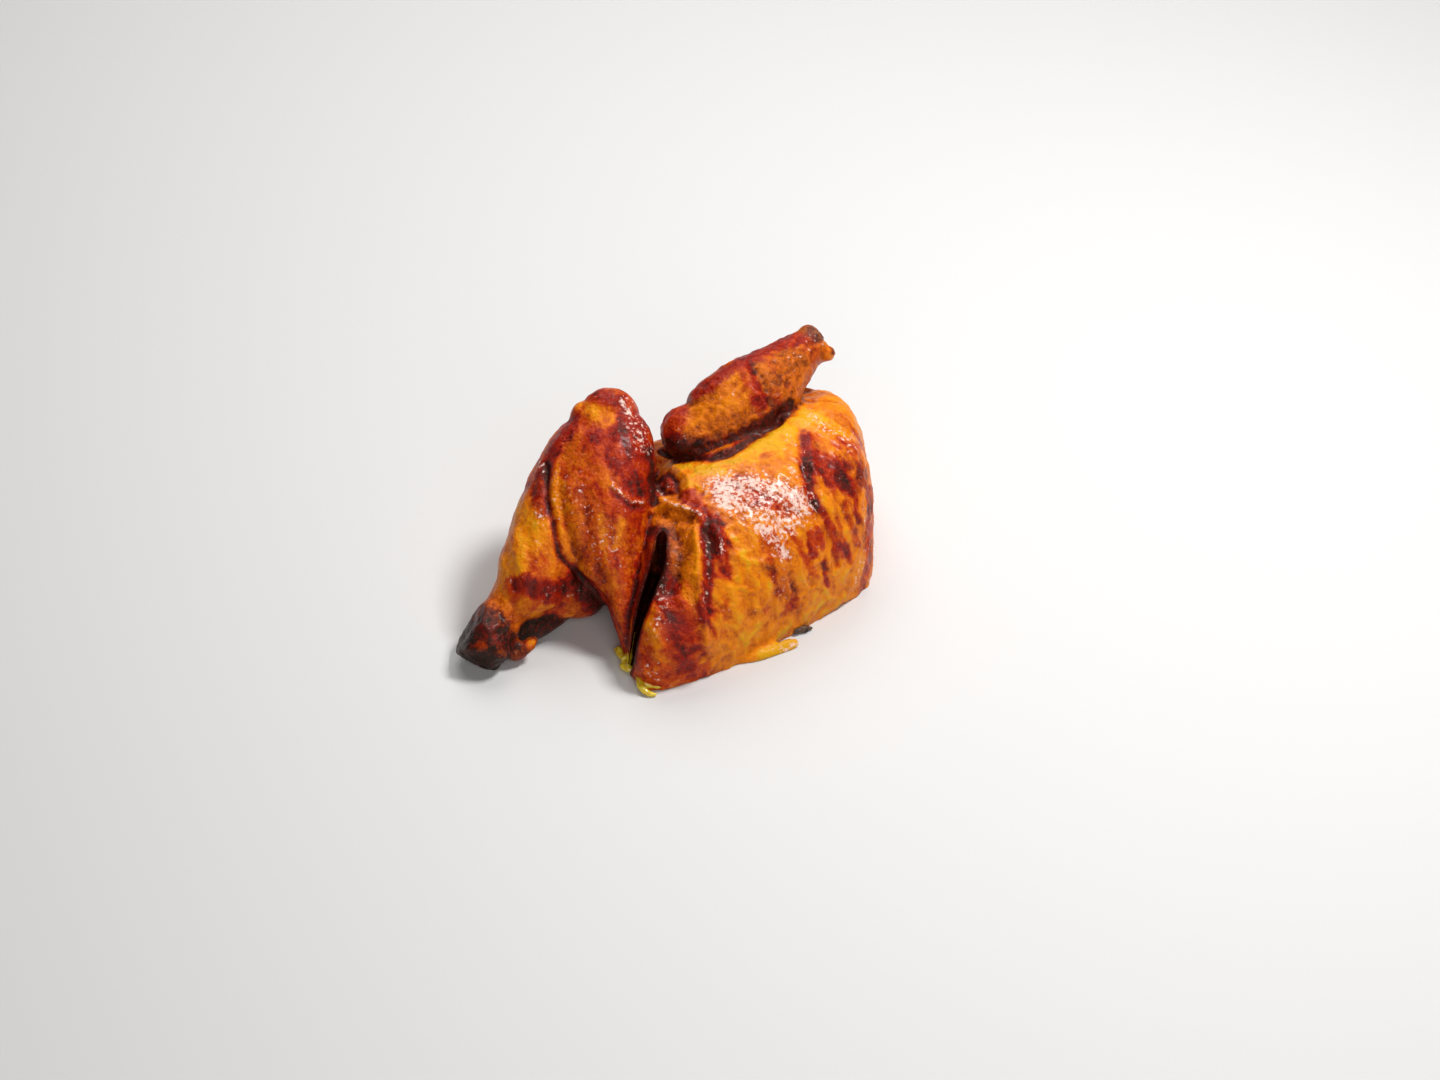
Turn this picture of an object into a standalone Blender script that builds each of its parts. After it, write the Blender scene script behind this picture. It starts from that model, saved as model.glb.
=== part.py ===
"""Half a roast chicken lying skin side up, in one piece: breast, folded wing, thigh and drumstick.

X runs from the ankle to the neck end, Y from the keel edge to the back, Z up from the flat cut side.
Sizes are in millimetres and become metres when a mesh is made.
"""

import math

import bmesh
import bpy
import numpy as np
from mathutils import Matrix

MM = 0.001

# Driving sizes of the bird
KEEL_ANGLE = 34.0
KEEL_TAIL = (-8.0, -76.0)
BREAST_LENGTH = 114.0
BREAST_WIDTH = 100.0
BREAST_HEIGHT = 60.0
SKIN_EDGE_HEIGHT = 4.5
# The middle of the finished piece, which becomes the origin
MIDDLE = (1.25, 1.5)

# Folds are laid out on a plane that leans back by this angle, as the keel side is seen from above
LEAN = math.radians(40.0)

# The mesh
LOFT_SIDES = 40
LOFT_STEP = 2.5
VOXEL = 1.2
SMOOTH_ROUNDS = 5
TRIANGLES = 7400
BLADE_SIDES = 16
BLADE_STEP = 6.0

# Part name and colour
NAME = "half_chicken"
SKIN_COLOUR = (0.56, 0.22, 0.04, 1.0)
SKIN_ROUGHNESS = 0.35

# Breast sections along the keel, as shares of the driving sizes:
# how far along, how much the far side runs ahead, near edge, crest, far edge, height
BREAST_SECTIONS = (
    (0.02, 0.00, 0.02, 0.07, 0.13, 0.22),
    (0.08, 0.00, -0.02, 0.12, 0.24, 0.48),
    (0.22, 0.00, -0.03, 0.25, 0.48, 0.74),
    (0.34, 0.04, -0.03, 0.34, 0.80, 0.86),
    (0.48, 0.12, -0.03, 0.40, 0.95, 0.94),
    (0.68, 0.21, -0.02, 0.44, 1.00, 1.00),
    (0.86, 0.30, -0.01, 0.46, 0.98, 0.97),
    (0.95, 0.35, 0.01, 0.47, 0.94, 0.91),
    (0.99, 0.37, 0.06, 0.48, 0.85, 0.78),
    (1.01, 0.38, 0.16, 0.48, 0.74, 0.58),
    (1.02, 0.38, 0.30, 0.48, 0.62, 0.32),
)
NECK_BULGE = 7.0

# Limbs as lists of (x, y, z, half width, half depth)
THIGH = (
    (-24.0, 19.0, 66.0, 10.0, 10.0),
    (-23.5, 12.0, 59.0, 16.5, 16.0),
    (-24.5, 1.0, 50.0, 20.5, 19.0),
    (-25.0, -12.0, 40.0, 21.5, 20.0),
    (-23.5, -25.0, 29.0, 18.8, 18.0),
    (-19.2, -38.0, 18.0, 11.5, 14.0),
    (-15.4, -48.0, 9.5, 6.0, 9.0),
    (-13.0, -54.0, 5.0, 4.0, 5.0),
)
DRUMSTICK = (
    (-66.0, -47.0, 14.0, 8.0, 8.5),
    (-61.0, -41.0, 17.0, 9.5, 10.0),
    (-53.0, -34.0, 23.0, 15.5, 15.0),
    (-44.5, -21.0, 31.0, 18.0, 17.0),
    (-39.0, -5.0, 42.0, 17.5, 17.0),
    (-32.0, 8.0, 54.0, 15.0, 15.0),
    (-26.0, 15.0, 63.0, 11.0, 11.0),
)
ANKLE = (
    (-62.0, -42.0, 15.0, 8.5, 9.0),
    (-67.0, -48.5, 12.5, 9.5, 9.5),
    (-71.0, -55.5, 10.5, 11.5, 10.5),
    (-73.0, -59.5, 9.5, 11.5, 10.0),
)
ANKLE_HOOK = (
    (-64.0, -54.0, 8.0, 4.5, 4.0),
    (-58.5, -56.5, 6.0, 3.6, 3.2),
    (-54.0, -55.5, 7.0, 2.8, 2.6),
    (-51.0, -53.5, 9.0, 1.9, 1.9),
)
CALF = (
    (-52.0, -37.0, 20.0, 10.0, 9.0),
    (-43.0, -31.0, 22.0, 13.0, 12.0),
    (-31.0, -26.0, 21.0, 13.0, 12.0),
)
HIP = (
    (-34.0, 3.0, 18.0, 16.0, 18.0),
    (-22.0, 14.0, 22.0, 24.0, 25.0),
    (-4.0, 22.0, 20.0, 26.0, 23.0),
    (20.0, 34.0, 18.0, 26.0, 22.0),
)
UPPER_WING = (
    (56.0, 56.0, 38.0, 12.0, 10.0),
    (42.0, 54.0, 42.0, 13.0, 12.0),
    (24.0, 45.0, 44.0, 12.0, 12.0),
    (9.0, 33.0, 47.0, 10.0, 10.0),
)
FORE_WING = (
    (7.5, 22.7, 57.0, 10.5, 10.0),
    (15.0, 25.5, 58.0, 14.0, 12.5),
    (27.5, 31.5, 60.0, 17.0, 13.5),
    (38.0, 38.5, 62.0, 16.5, 13.5),
    (48.0, 50.5, 64.0, 13.0, 11.5),
    (56.5, 61.0, 66.0, 9.5, 9.0),
    (61.0, 65.0, 67.0, 8.0, 7.5),
)
WRIST_KNOBS = (
    (60.5, 66.0, 70.5, 6.0, 5.5),
    (68.5, 63.0, 65.0, 4.5, 5.0),
)
# Scraps at the keel edge: a curl of fat, and pale flesh that shows from under the skin
FAT_CURL = (
    (-5.5, -67.0, 2.4, 3.4, 2.4),
    (-5.6, -73.0, 1.6, 2.4, 1.8),
    (-3.5, -77.0, 1.2, 1.8, 1.6),
)
FLESH_LEDGE = (
    (32.0, -50.0, 1.6, 2.0, 1.5),
    (41.0, -48.5, 1.6, 3.6, 1.6),
    (49.0, -45.0, 1.8, 3.8, 1.7),
    (55.0, -42.0, 2.2, 2.6, 1.7),
)
# Each limb with the squareness of its section and the length of its rounded ends
LIMBS = (
    (THIGH, 2.2, 1.0),
    (DRUMSTICK, 2.0, 1.0),
    (CALF, 2.0, 1.0),
    (ANKLE, 2.8, 0.45),
    (ANKLE_HOOK, 2.0, 1.0),
    (HIP, 2.0, 1.0),
    (UPPER_WING, 2.0, 1.0),
    (FORE_WING, 2.2, 0.8),
    (FAT_CURL, 2.0, 1.0),
    (FLESH_LEDGE, 2.0, 1.0),
)

# Slits are cut with thin blades, given as limbs are, widest at the skin:
# between thigh and breast, and under the folded wing
SLITS = (
    (
        (0.0, -35.0, 46.0, 2.6, 16.0),
        (-1.2, -44.0, 41.0, 3.8, 30.0),
        (-5.2, -53.0, 30.5, 3.8, 31.0),
        (-9.0, -60.0, 16.5, 3.4, 33.0),
        (-10.5, -65.0, 4.5, 3.4, 33.0),
    ),
    (
        (2.0, 13.0, 51.0, 1.8, 10.0),
        (13.0, 6.4, 53.9, 2.2, 15.0),
        (27.0, 6.4, 57.2, 2.3, 17.0),
        (41.0, 16.8, 57.6, 2.3, 17.0),
        (51.0, 32.0, 59.5, 2.0, 14.0),
    ),
)

# Furrows and ridges on the leaning plane: points (across, up), width, and height above the skin
RELIEF = (
    (((-49.5, 45.0), (-49.5, 22.0), (-43.5, 1.0), (-31.5, -13.5), (-20.0, -28.0)), 2.4, -3.2),
    (((-46.0, 43.0), (-45.5, 22.0), (-39.5, 2.0), (-28.5, -11.0)), 2.6, 1.0),
    (((9.0, 27.5), (14.0, 20.5), (16.0, 10.0), (17.0, -8.0), (18.0, -30.0)), 2.2, 1.8),
    (((6.0, 22.0), (7.5, 12.0), (6.5, 2.0), (3.5, -7.0)), 4.2, -3.6),
    (((14.0, 26.0), (19.5, 18.0), (20.0, 8.0), (20.5, -8.0), (21.5, -22.0)), 2.0, -1.6),
    (((21.0, 25.0), (24.5, 15.0), (23.0, 6.0)), 2.4, 1.2),
    (((-5.0, 25.0), (2.0, 28.5), (10.0, 27.0), (16.0, 23.0)), 1.8, 1.4),
    (((-4.0, 38.0), (1.0, 35.0), (5.0, 33.0)), 2.6, -1.8),
    (((-20.0, 38.0), (-12.0, 27.0), (-5.0, 22.0)), 2.0, -1.0),
    (((-33.0, 34.0), (-31.0, 12.0), (-24.0, -10.0)), 3.0, -0.9),
    (((38.0, 86.0), (44.0, 74.0), (49.0, 66.0)), 3.2, -1.6),
)

# Slow unevenness of the whole skin
LUMP_HEIGHT = 0.7
LUMP_LENGTH = 21.0
LUMP_WAVES = 9
LUMP_SEED = 4


def smooth_path(points, step):
    """Rows resampled every step along a Catmull-Rom curve through the given rows."""
    rows = np.array(points, float)
    rows = np.vstack([2 * rows[0] - rows[1], rows, 2 * rows[-1] - rows[-2]])
    found = []
    for before, start, end, after in zip(rows, rows[1:], rows[2:], rows[3:]):
        count = max(2, int(np.linalg.norm(end[:3] - start[:3]) / step))
        t = np.linspace(0.0, 1.0, count, endpoint=False)[:, None]
        found.append(
            0.5
            * (
                2 * start
                + (end - before) * t
                + (2 * before - 5 * start + 4 * end - after) * t**2
                + (3 * start - before - 3 * end + after) * t**3
            )
        )
    return np.vstack(found + [rows[-2][None]])


def loft(bm, rings):
    """Adds a closed skin over rings of points, with a pole at each end."""
    rows = [[bm.verts.new(point) for point in ring] for ring in rings]
    sides = len(rows[0])
    for lower, upper in zip(rows, rows[1:]):
        for i in range(sides):
            j = (i + 1) % sides
            bm.faces.new((lower[i], lower[j], upper[j], upper[i]))
    for ring in (rows[0], rows[-1]):
        pole = bm.verts.new(sum((v.co for v in ring[1:]), ring[0].co.copy()) / sides)
        for i in range(sides):
            bm.faces.new((ring[i], ring[(i + 1) % sides], pole))


def add_limb(bm, stations, power, cap_length, sides=LOFT_SIDES, step=LOFT_STEP):
    """A limb: superellipses carried along a smooth path, with a rounded cap at each end."""
    path = smooth_path(stations, step)
    centres = path[:, :3]
    along = np.gradient(centres, axis=0)
    along /= np.linalg.norm(along, axis=1)[:, None]
    side = np.cross(along, (0.0, -math.cos(LEAN), math.sin(LEAN)))
    side /= np.linalg.norm(side, axis=1)[:, None]
    up = np.cross(side, along)
    angles = np.linspace(0.0, 2 * math.pi, sides, endpoint=False)
    cosine = np.sign(np.cos(angles)) * np.abs(np.cos(angles)) ** (2 / power)
    sine = np.sign(np.sin(angles)) * np.abs(np.sin(angles)) ** (2 / power)

    def ring(i, share, shift):
        across = side[i] * path[i, 3] * share
        over = up[i] * path[i, 4] * share
        centre = centres[i] + along[i] * shift
        return centre + np.outer(cosine, across) + np.outer(sine, over)

    cap = np.radians((75.0, 50.0, 25.0))
    radius = path[:, 3:5].mean(axis=1) * cap_length
    first = [ring(0, math.cos(a), -radius[0] * math.sin(a)) for a in cap]
    last = [ring(-1, math.cos(a), radius[-1] * math.sin(a)) for a in cap[::-1]]
    loft(bm, first + [ring(i, 1.0, 0.0) for i in range(len(path))] + last)


def on_body(along, across):
    """The ground point at a distance along the keel and across from it, towards the back."""
    turn = math.radians(KEEL_ANGLE)
    x = KEEL_TAIL[0] + along * math.cos(turn) - across * math.sin(turn)
    y = KEEL_TAIL[1] + along * math.sin(turn) + across * math.cos(turn)
    return x, y


def add_breast(bm):
    """The breast and side: lopsided superellipse sections, steep at the keel and easy towards the back."""
    sections = np.array(BREAST_SECTIONS) * (
        BREAST_LENGTH,
        1.0,
        BREAST_WIDTH,
        BREAST_WIDTH,
        BREAST_WIDTH,
        BREAST_HEIGHT,
    )
    angles = np.linspace(0.0, 2 * math.pi, 2 * LOFT_SIDES, endpoint=False)
    cosine, sine = np.cos(angles), np.sin(angles)
    near = cosine < 0
    power = np.where(near, 2.3, 1.9)
    out = np.abs(cosine) ** (2 / power)
    rise = np.abs(sine) ** (2 / power)
    rings = []
    for along, lead, edge, crest, far, height in smooth_path(sections, 5.0):
        across = crest + np.where(near, -(crest - edge) * out, (far - crest) * out)
        top = SKIN_EDGE_HEIGHT + (height - SKIN_EDGE_HEIGHT) * rise
        under = SKIN_EDGE_HEIGHT - 2.2 * SKIN_EDGE_HEIGHT * rise
        share = np.clip(across / BREAST_WIDTH, 0.0, 1.0) * along / BREAST_LENGTH
        x, y = on_body(along + lead * across + NECK_BULGE * np.sin(math.pi * share), across)
        rings.append(np.column_stack([x, y, np.where(sine >= 0, top, under)]))
    loft(bm, rings)


def add_knob(bm, knob):
    """A bone end: a small ball drawn out of true."""
    x, y, z, half_width, half_height = knob
    made = bmesh.ops.create_uvsphere(bm, u_segments=16, v_segments=10, radius=1.0)
    for vert in made["verts"]:
        vert.co = (x + vert.co.x * half_width, y + vert.co.y * half_width, z + vert.co.z * half_height)


def distance_to(points, path):
    """How far each point on a plane is from a line of straight stretches."""
    path = np.array(path, float)
    best = np.full(len(points), np.inf)
    for start, end in zip(path, path[1:]):
        run = end - start
        share = np.clip((points - start) @ run / (run @ run), 0.0, 1.0)
        best = np.minimum(best, np.linalg.norm(points - start - share[:, None] * run, axis=1))
    return best


def leaning_plane(points):
    """Where points fall on the plane that leans back from the keel side."""
    return np.column_stack([points[:, 0], points[:, 1] * math.sin(LEAN) + points[:, 2] * math.cos(LEAN)])


def relief_height(points, normals):
    """How far furrows and ridges lift the skin, on the side that faces the leaning plane."""
    facing = np.clip(normals @ (0.0, -math.cos(LEAN), math.sin(LEAN)) + 0.3, 0.0, 1.0)
    flat = leaning_plane(points)
    height = np.zeros(len(points))
    for path, width, lift in RELIEF:
        gap = distance_to(flat, path)
        height += facing * lift * np.exp(-((gap / width) ** 2))
    return height


def lump_height(points):
    """Slow waves in directions drawn once from a seed."""
    draw = np.random.default_rng(LUMP_SEED)
    directions = draw.normal(size=(LUMP_WAVES, 3))
    directions /= np.linalg.norm(directions, axis=1)[:, None]
    phases = draw.uniform(0.0, 2 * math.pi, LUMP_WAVES)
    waves = np.sin(2 * math.pi / LUMP_LENGTH * points @ directions.T + phases)
    return LUMP_HEIGHT * waves.sum(axis=1) / math.sqrt(LUMP_WAVES)


def evaluated_mesh(obj):
    """The object's mesh with its modifiers applied."""
    graph = bpy.context.evaluated_depsgraph_get()
    return bpy.data.meshes.new_from_object(obj.evaluated_get(graph))


def apply_modifiers(obj):
    """Keeps what the modifiers make and removes them."""
    made = evaluated_mesh(obj)
    old = obj.data
    obj.modifiers.clear()
    obj.data = made
    bpy.data.meshes.remove(old)


def mesh_arrays(mesh):
    """Vertex places and normals, in millimetres and as unit vectors."""
    points = np.empty(len(mesh.vertices) * 3, np.float32)
    normals = np.empty(len(mesh.vertices) * 3, np.float32)
    mesh.vertices.foreach_get("co", points)
    mesh.vertices.foreach_get("normal", normals)
    return points.reshape(-1, 3).astype(float) / MM, normals.reshape(-1, 3).astype(float)


def add_to(obj, collection):
    collection.objects.link(obj)
    return obj


def mesh_object(bm, name, collection):
    """A closed mesh object in metres from millimetre geometry, with its faces out."""
    bmesh.ops.scale(bm, vec=(MM, MM, MM), verts=bm.verts)
    bmesh.ops.recalc_face_normals(bm, faces=bm.faces)
    mesh = bpy.data.meshes.new(name)
    bm.to_mesh(mesh)
    bm.free()
    return add_to(bpy.data.objects.new(name, mesh), collection)


def add_cut(obj, cutter):
    cutter.hide_render = True
    cutter.display_type = "WIRE"
    cut = obj.modifiers.new(cutter.name, "BOOLEAN")
    cut.operation = "DIFFERENCE"
    cut.solver = "EXACT"
    cut.object = cutter


def floor_cutter(collection):
    """A slab whose top is the surface that the piece rests on, at Z 0."""
    bpy.ops.mesh.primitive_cube_add(size=1.0)
    slab = bpy.context.active_object
    slab.name = "floor_cutter"
    for vert in slab.data.vertices:
        vert.co = (vert.co.x * 0.4, vert.co.y * 0.4, (vert.co.z - 0.5) * 0.1)
    for old in slab.users_collection:
        old.objects.unlink(slab)
    return add_to(slab, collection)


def build_flesh(collection):
    """All the lofted muscles, fused by a voxel remesh into one even skin and softened."""
    bm = bmesh.new()
    add_breast(bm)
    for stations, power, cap_length in LIMBS:
        add_limb(bm, stations, power, cap_length)
    for knob in WRIST_KNOBS:
        add_knob(bm, knob)
    obj = mesh_object(bm, NAME, collection)
    fuse = obj.modifiers.new("fuse", "REMESH")
    fuse.mode = "VOXEL"
    fuse.voxel_size = VOXEL * MM
    soften = obj.modifiers.new("soften", "SMOOTH")
    soften.factor = 0.5
    soften.iterations = SMOOTH_ROUNDS
    apply_modifiers(obj)
    return obj


def shape_skin(obj):
    """Lifts and presses the skin into furrows, ridges and slow lumps."""
    points, normals = mesh_arrays(obj.data)
    height = relief_height(points, normals) + lump_height(points)
    points += normals * height[:, None]
    obj.data.vertices.foreach_set("co", (points * MM).astype(np.float32).ravel())
    obj.data.update()


def thin_out(obj):
    """Fewer triangles, kept where the surface curves most."""
    triangles = sum(len(face.vertices) - 2 for face in obj.data.polygons)
    thin = obj.modifiers.new("thin", "DECIMATE")
    thin.ratio = TRIANGLES / triangles
    apply_modifiers(obj)


def cut_slits_and_underside(obj, cutters):
    """Opens the slits and cuts the underside flat, so that the piece rests on its cut side."""
    for i, stations in enumerate(SLITS):
        blade = bmesh.new()
        add_limb(blade, stations, 2.0, 1.0, BLADE_SIDES, BLADE_STEP)
        add_cut(obj, mesh_object(blade, f"slit_{i}", cutters))
    add_cut(obj, floor_cutter(cutters))
    apply_modifiers(obj)


def keep_largest_shell(obj):
    """Drops loose scraps and fills sealed hollows, which the cuts can leave as shells of their own."""
    bm = bmesh.new()
    bm.from_mesh(obj.data)
    unseen = set(bm.verts)
    shells = []
    while unseen:
        shell = {unseen.pop()}
        edge_of_shell = list(shell)
        while edge_of_shell:
            vert = edge_of_shell.pop()
            found = {edge.other_vert(vert) for edge in vert.link_edges} - shell
            shell |= found
            edge_of_shell += found
        unseen -= shell
        shells.append(shell)
    largest = max(shells, key=len)
    bmesh.ops.delete(bm, geom=[vert for vert in bm.verts if vert not in largest], context="VERTS")
    bm.to_mesh(obj.data)
    bm.free()


def paint(obj):
    """One plain roast-skin material."""
    material = bpy.data.materials.new("roast_skin")
    material.use_nodes = True
    shader = material.node_tree.nodes["Principled BSDF"]
    shader.inputs["Base Color"].default_value = SKIN_COLOUR
    shader.inputs["Roughness"].default_value = SKIN_ROUGHNESS
    material.diffuse_color = SKIN_COLOUR
    obj.data.materials.clear()
    obj.data.materials.append(material)
    obj.data.shade_smooth()


def main():
    for old in list(bpy.data.objects):
        bpy.data.objects.remove(old)
    parts = bpy.data.collections.new("half_roast_chicken")
    cutters = bpy.data.collections.new("cutters")
    for collection in (parts, cutters):
        bpy.context.scene.collection.children.link(collection)
    bird = build_flesh(parts)
    shape_skin(bird)
    thin_out(bird)
    cut_slits_and_underside(bird, cutters)
    keep_largest_shell(bird)
    to_origin = Matrix.Translation((-MIDDLE[0] * MM, -MIDDLE[1] * MM, 0.0))
    for obj in (bird, *cutters.objects):
        obj.data.transform(to_origin)
    paint(bird)


main()
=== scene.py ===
"""Half a roast chicken, skin side up: browned skin over breast, thigh, drumstick and folded wing.

Shapes are drawn in millimetres, in the frame's axes but about an origin of their own, and are moved to the
frame's origin and made metres when a mesh is made.
"""

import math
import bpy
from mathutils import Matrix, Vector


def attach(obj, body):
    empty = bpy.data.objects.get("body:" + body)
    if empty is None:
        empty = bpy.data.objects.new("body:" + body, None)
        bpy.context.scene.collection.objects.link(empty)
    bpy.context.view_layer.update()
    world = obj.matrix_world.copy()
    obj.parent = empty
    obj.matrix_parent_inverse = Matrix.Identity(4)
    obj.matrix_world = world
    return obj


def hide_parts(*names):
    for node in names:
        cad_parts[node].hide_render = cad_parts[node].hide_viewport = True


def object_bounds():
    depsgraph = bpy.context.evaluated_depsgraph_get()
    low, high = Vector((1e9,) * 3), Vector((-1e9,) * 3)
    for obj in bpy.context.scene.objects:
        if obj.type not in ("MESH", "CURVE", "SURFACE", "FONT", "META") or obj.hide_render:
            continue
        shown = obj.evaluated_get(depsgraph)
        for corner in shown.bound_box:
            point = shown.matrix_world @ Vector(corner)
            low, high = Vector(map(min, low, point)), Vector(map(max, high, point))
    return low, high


bl_info = {
    "name": "Half roast chicken",
    "version": (1, 0, 0),
    "blender": (4, 5, 0),
    "location": "View3D > Sidebar > Roast",
    "description": "Builds half a roast chicken with its scraps of fat, and a plain studio round it",
    "category": "Add Mesh",
}

import bmesh
import bpy
import numpy as np
from mathutils import Vector

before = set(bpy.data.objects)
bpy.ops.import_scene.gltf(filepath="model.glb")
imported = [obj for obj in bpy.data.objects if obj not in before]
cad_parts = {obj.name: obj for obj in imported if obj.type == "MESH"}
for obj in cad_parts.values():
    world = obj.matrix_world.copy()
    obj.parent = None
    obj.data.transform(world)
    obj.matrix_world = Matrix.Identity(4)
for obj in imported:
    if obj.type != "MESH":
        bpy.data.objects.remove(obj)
CAD_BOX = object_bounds()

MM = 0.001
NODE = "half_chicken"
BODY = "root"

# Where the middle of the frame's box falls in the drawing
MIDDLE = np.array((1.25, 1.5, 0.0))
# The keel in the drawing: its tail end, and its turn from the X axis
KEEL_TAIL = (-8.0, -76.0)
KEEL_ANGLE = math.radians(34.0)

# The viewpoint: how far above the horizon, how far away, and the point looked at in the drawing
VIEW_RISE = math.radians(40.0)
VIEW_DISTANCE = 1500.0
VIEW_TARGET = np.array((23.3, 19.4, 0.0))
TOWARDS_VIEW = np.array((0.0, -math.cos(VIEW_RISE), math.sin(VIEW_RISE)))
UP_IN_VIEW = np.array((0.0, math.sin(VIEW_RISE), math.cos(VIEW_RISE)))
IMAGE_SIZE = (1440, 1080)
PIXELS_PER_MM = 2.4
SENSOR = 36.0

# The turns of the rings that round off a limb's end, away from the straight part
CAP_TURNS = np.radians((80.0, 64.0, 48.0, 32.0, 16.0))

# Limbs as stations (x, y, z, half width, half depth), with the squareness of the section and of the end caps
LIMBS = {
    "thigh": (
        (
            (-21.8, 19.0, 66.0, 12.0, 10.5),
            (-21.6, 12.0, 59.0, 18.2, 16.0),
            (-23.8, 1.0, 50.0, 21.0, 19.0),
            (-24.6, -12.0, 40.0, 21.3, 20.0),
            (-21.3, -24.8, 29.3, 16.6, 17.0),
            (-16.1, -37.5, 18.6, 8.6, 12.5),
            (-13.9, -47.8, 9.8, 4.8, 8.0),
            (-12.5, -53.8, 5.2, 3.6, 4.5),
        ),
        2.2,
        1.0,
    ),
    "drumstick": (
        (
            (-66.0, -47.0, 14.0, 8.0, 8.5),
            (-61.0, -41.0, 17.0, 9.5, 10.0),
            (-53.0, -34.0, 23.0, 15.5, 15.0),
            (-44.5, -21.0, 31.0, 18.0, 17.0),
            (-39.0, -5.0, 42.0, 17.5, 17.0),
            (-32.0, 8.0, 54.0, 15.0, 15.0),
            (-26.0, 15.0, 63.0, 11.0, 11.0),
        ),
        2.0,
        1.0,
    ),
    "calf": (
        (
            (-52.0, -37.0, 19.0, 8.5, 8.5),
            (-43.5, -32.0, 19.0, 13.0, 12.0),
            (-33.0, -28.5, 16.5, 13.5, 12.0),
        ),
        2.0,
        1.0,
    ),
    "ankle": (
        (
            (-62.0, -42.0, 15.0, 8.5, 9.0),
            (-67.0, -48.5, 12.5, 9.5, 9.5),
            (-71.0, -55.5, 10.5, 11.5, 10.5),
            (-73.0, -59.5, 9.5, 11.5, 10.0),
        ),
        2.8,
        0.45,
    ),
    "hook": (
        (
            (-65.0, -53.5, 8.5, 6.5, 5.0),
            (-58.5, -56.5, 6.3, 4.6, 4.0),
            (-54.0, -55.5, 7.0, 2.8, 2.6),
            (-51.0, -53.5, 9.0, 1.9, 1.9),
        ),
        2.0,
        1.0,
    ),
    "hip": (
        (
            (-34.0, 3.0, 18.0, 16.0, 18.0),
            (-22.0, 14.0, 22.0, 24.0, 25.0),
            (-4.0, 22.0, 16.0, 25.0, 19.5),
            (20.0, 34.0, 18.0, 26.0, 22.0),
        ),
        2.0,
        1.0,
    ),
    "upper_wing": (
        (
            (56.0, 56.0, 38.0, 12.0, 10.0),
            (42.0, 54.0, 42.0, 13.0, 12.0),
            (24.0, 45.0, 44.0, 12.0, 12.0),
            (9.0, 33.0, 47.0, 10.0, 10.0),
        ),
        2.0,
        1.0,
    ),
    "wing": (
        (
            (7.8, 21.0, 54.8, 11.3, 10.0),
            (15.0, 23.3, 54.5, 13.2, 11.6),
            (21.2, 26.7, 56.2, 16.2, 12.8),
            (28.4, 30.8, 58.9, 17.4, 13.5),
            (38.2, 38.3, 61.8, 16.9, 13.5),
            (48.0, 50.5, 64.0, 13.0, 11.5),
            (56.5, 61.0, 66.0, 9.5, 9.0),
            (61.0, 65.0, 67.0, 8.0, 7.5),
        ),
        2.2,
        0.8,
    ),
    "wrist": (
        (
            (58.5, 64.0, 68.5, 5.5, 5.0),
            (60.5, 66.0, 70.5, 6.0, 5.5),
        ),
        2.0,
        0.9,
    ),
    "wrist_tip": (
        (
            (64.5, 63.2, 65.4, 4.6, 4.5),
            (67.6, 62.6, 64.6, 3.6, 3.8),
        ),
        2.0,
        0.9,
    ),
    "knee": (
        (
            (-27.0, 18.0, 65.0, 8.5, 8.5),
            (-32.5, 18.2, 65.5, 7.0, 6.5),
        ),
        2.3,
        0.8,
    ),
    # A char-coloured mass under the drumstick: painted shadow, filling the hollow there that lies in deep
    # shade
    "shadow_mass": (
        (
            (-62.0, -47.5, 6.0, 5.0, 5.5),
            (-53.0, -42.5, 7.0, 6.5, 6.5),
            (-44.0, -36.0, 9.0, 6.5, 7.0),
        ),
        2.0,
        1.0,
    ),
    "ledge": (
        (
            (30.5, -57.0, 1.0, 1.2, 1.2),
            (38.1, -54.8, 1.3, 1.9, 1.4),
            (44.2, -52.0, 1.4, 2.2, 1.5),
            (50.2, -48.4, 1.5, 3.0, 1.4),
            (53.8, -46.6, 1.5, 2.2, 1.1),
        ),
        2.0,
        1.0,
    ),
}

# How the limbs' rings are read, in millimetres: the gap of what is far from all rings, how far a ring reaches
# along its limb, the gap at which skin counts as breast, and how fast a part's weight falls off
FAR_GAP = 50.0
RING_REACH = 1.2
BREAST_GAP = 1.2
WEIGHT_FALL = 0.45

# Parts that share a finish
LEG_PARTS = ("thigh", "drumstick", "calf", "hip")
WING_PARTS = ("wing", "upper_wing")
WING_TIP_PARTS = ("wrist", "wrist_tip")
# The burnt ends, and the char-coloured mass of painted shadow under the drumstick
CHAR_COLOURED_PARTS = ("ankle", "hook", "shadow_mass", "wrist", "wrist_tip")

# Flats of the burnt bone end: a place on each and the way it faces
BONE_FLATS = (
    ((-83.3, -58.0, 4.0), (-0.82, 0.05, 0.57)),
    ((-76.0, -66.0, 12.0), (-0.35, -0.55, 0.76)),
)

# Breast sections along the keel: along, lead of the far side, near edge, crest, far edge, height
BREAST_SECTIONS = (
    (2.3, 0.00, 2.0, 7.0, 13.0, 13.2),
    (9.1, 0.00, -3.0, 12.0, 24.0, 28.8),
    (25.1, 0.00, -6.5, 25.0, 48.0, 44.4),
    (38.8, 0.04, -7.0, 34.0, 80.0, 51.6),
    (54.7, 0.12, -6.5, 40.0, 95.0, 56.4),
    (77.5, 0.21, -4.5, 44.0, 100.0, 60.0),
    (98.0, 0.30, -1.4, 46.0, 98.0, 58.2),
    (108.3, 0.35, 1.0, 47.0, 94.0, 54.6),
    (112.9, 0.37, 6.0, 48.0, 85.0, 46.8),
    (115.1, 0.38, 16.0, 48.0, 74.0, 34.8),
    (116.3, 0.38, 30.0, 48.0, 62.0, 19.2),
)

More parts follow.
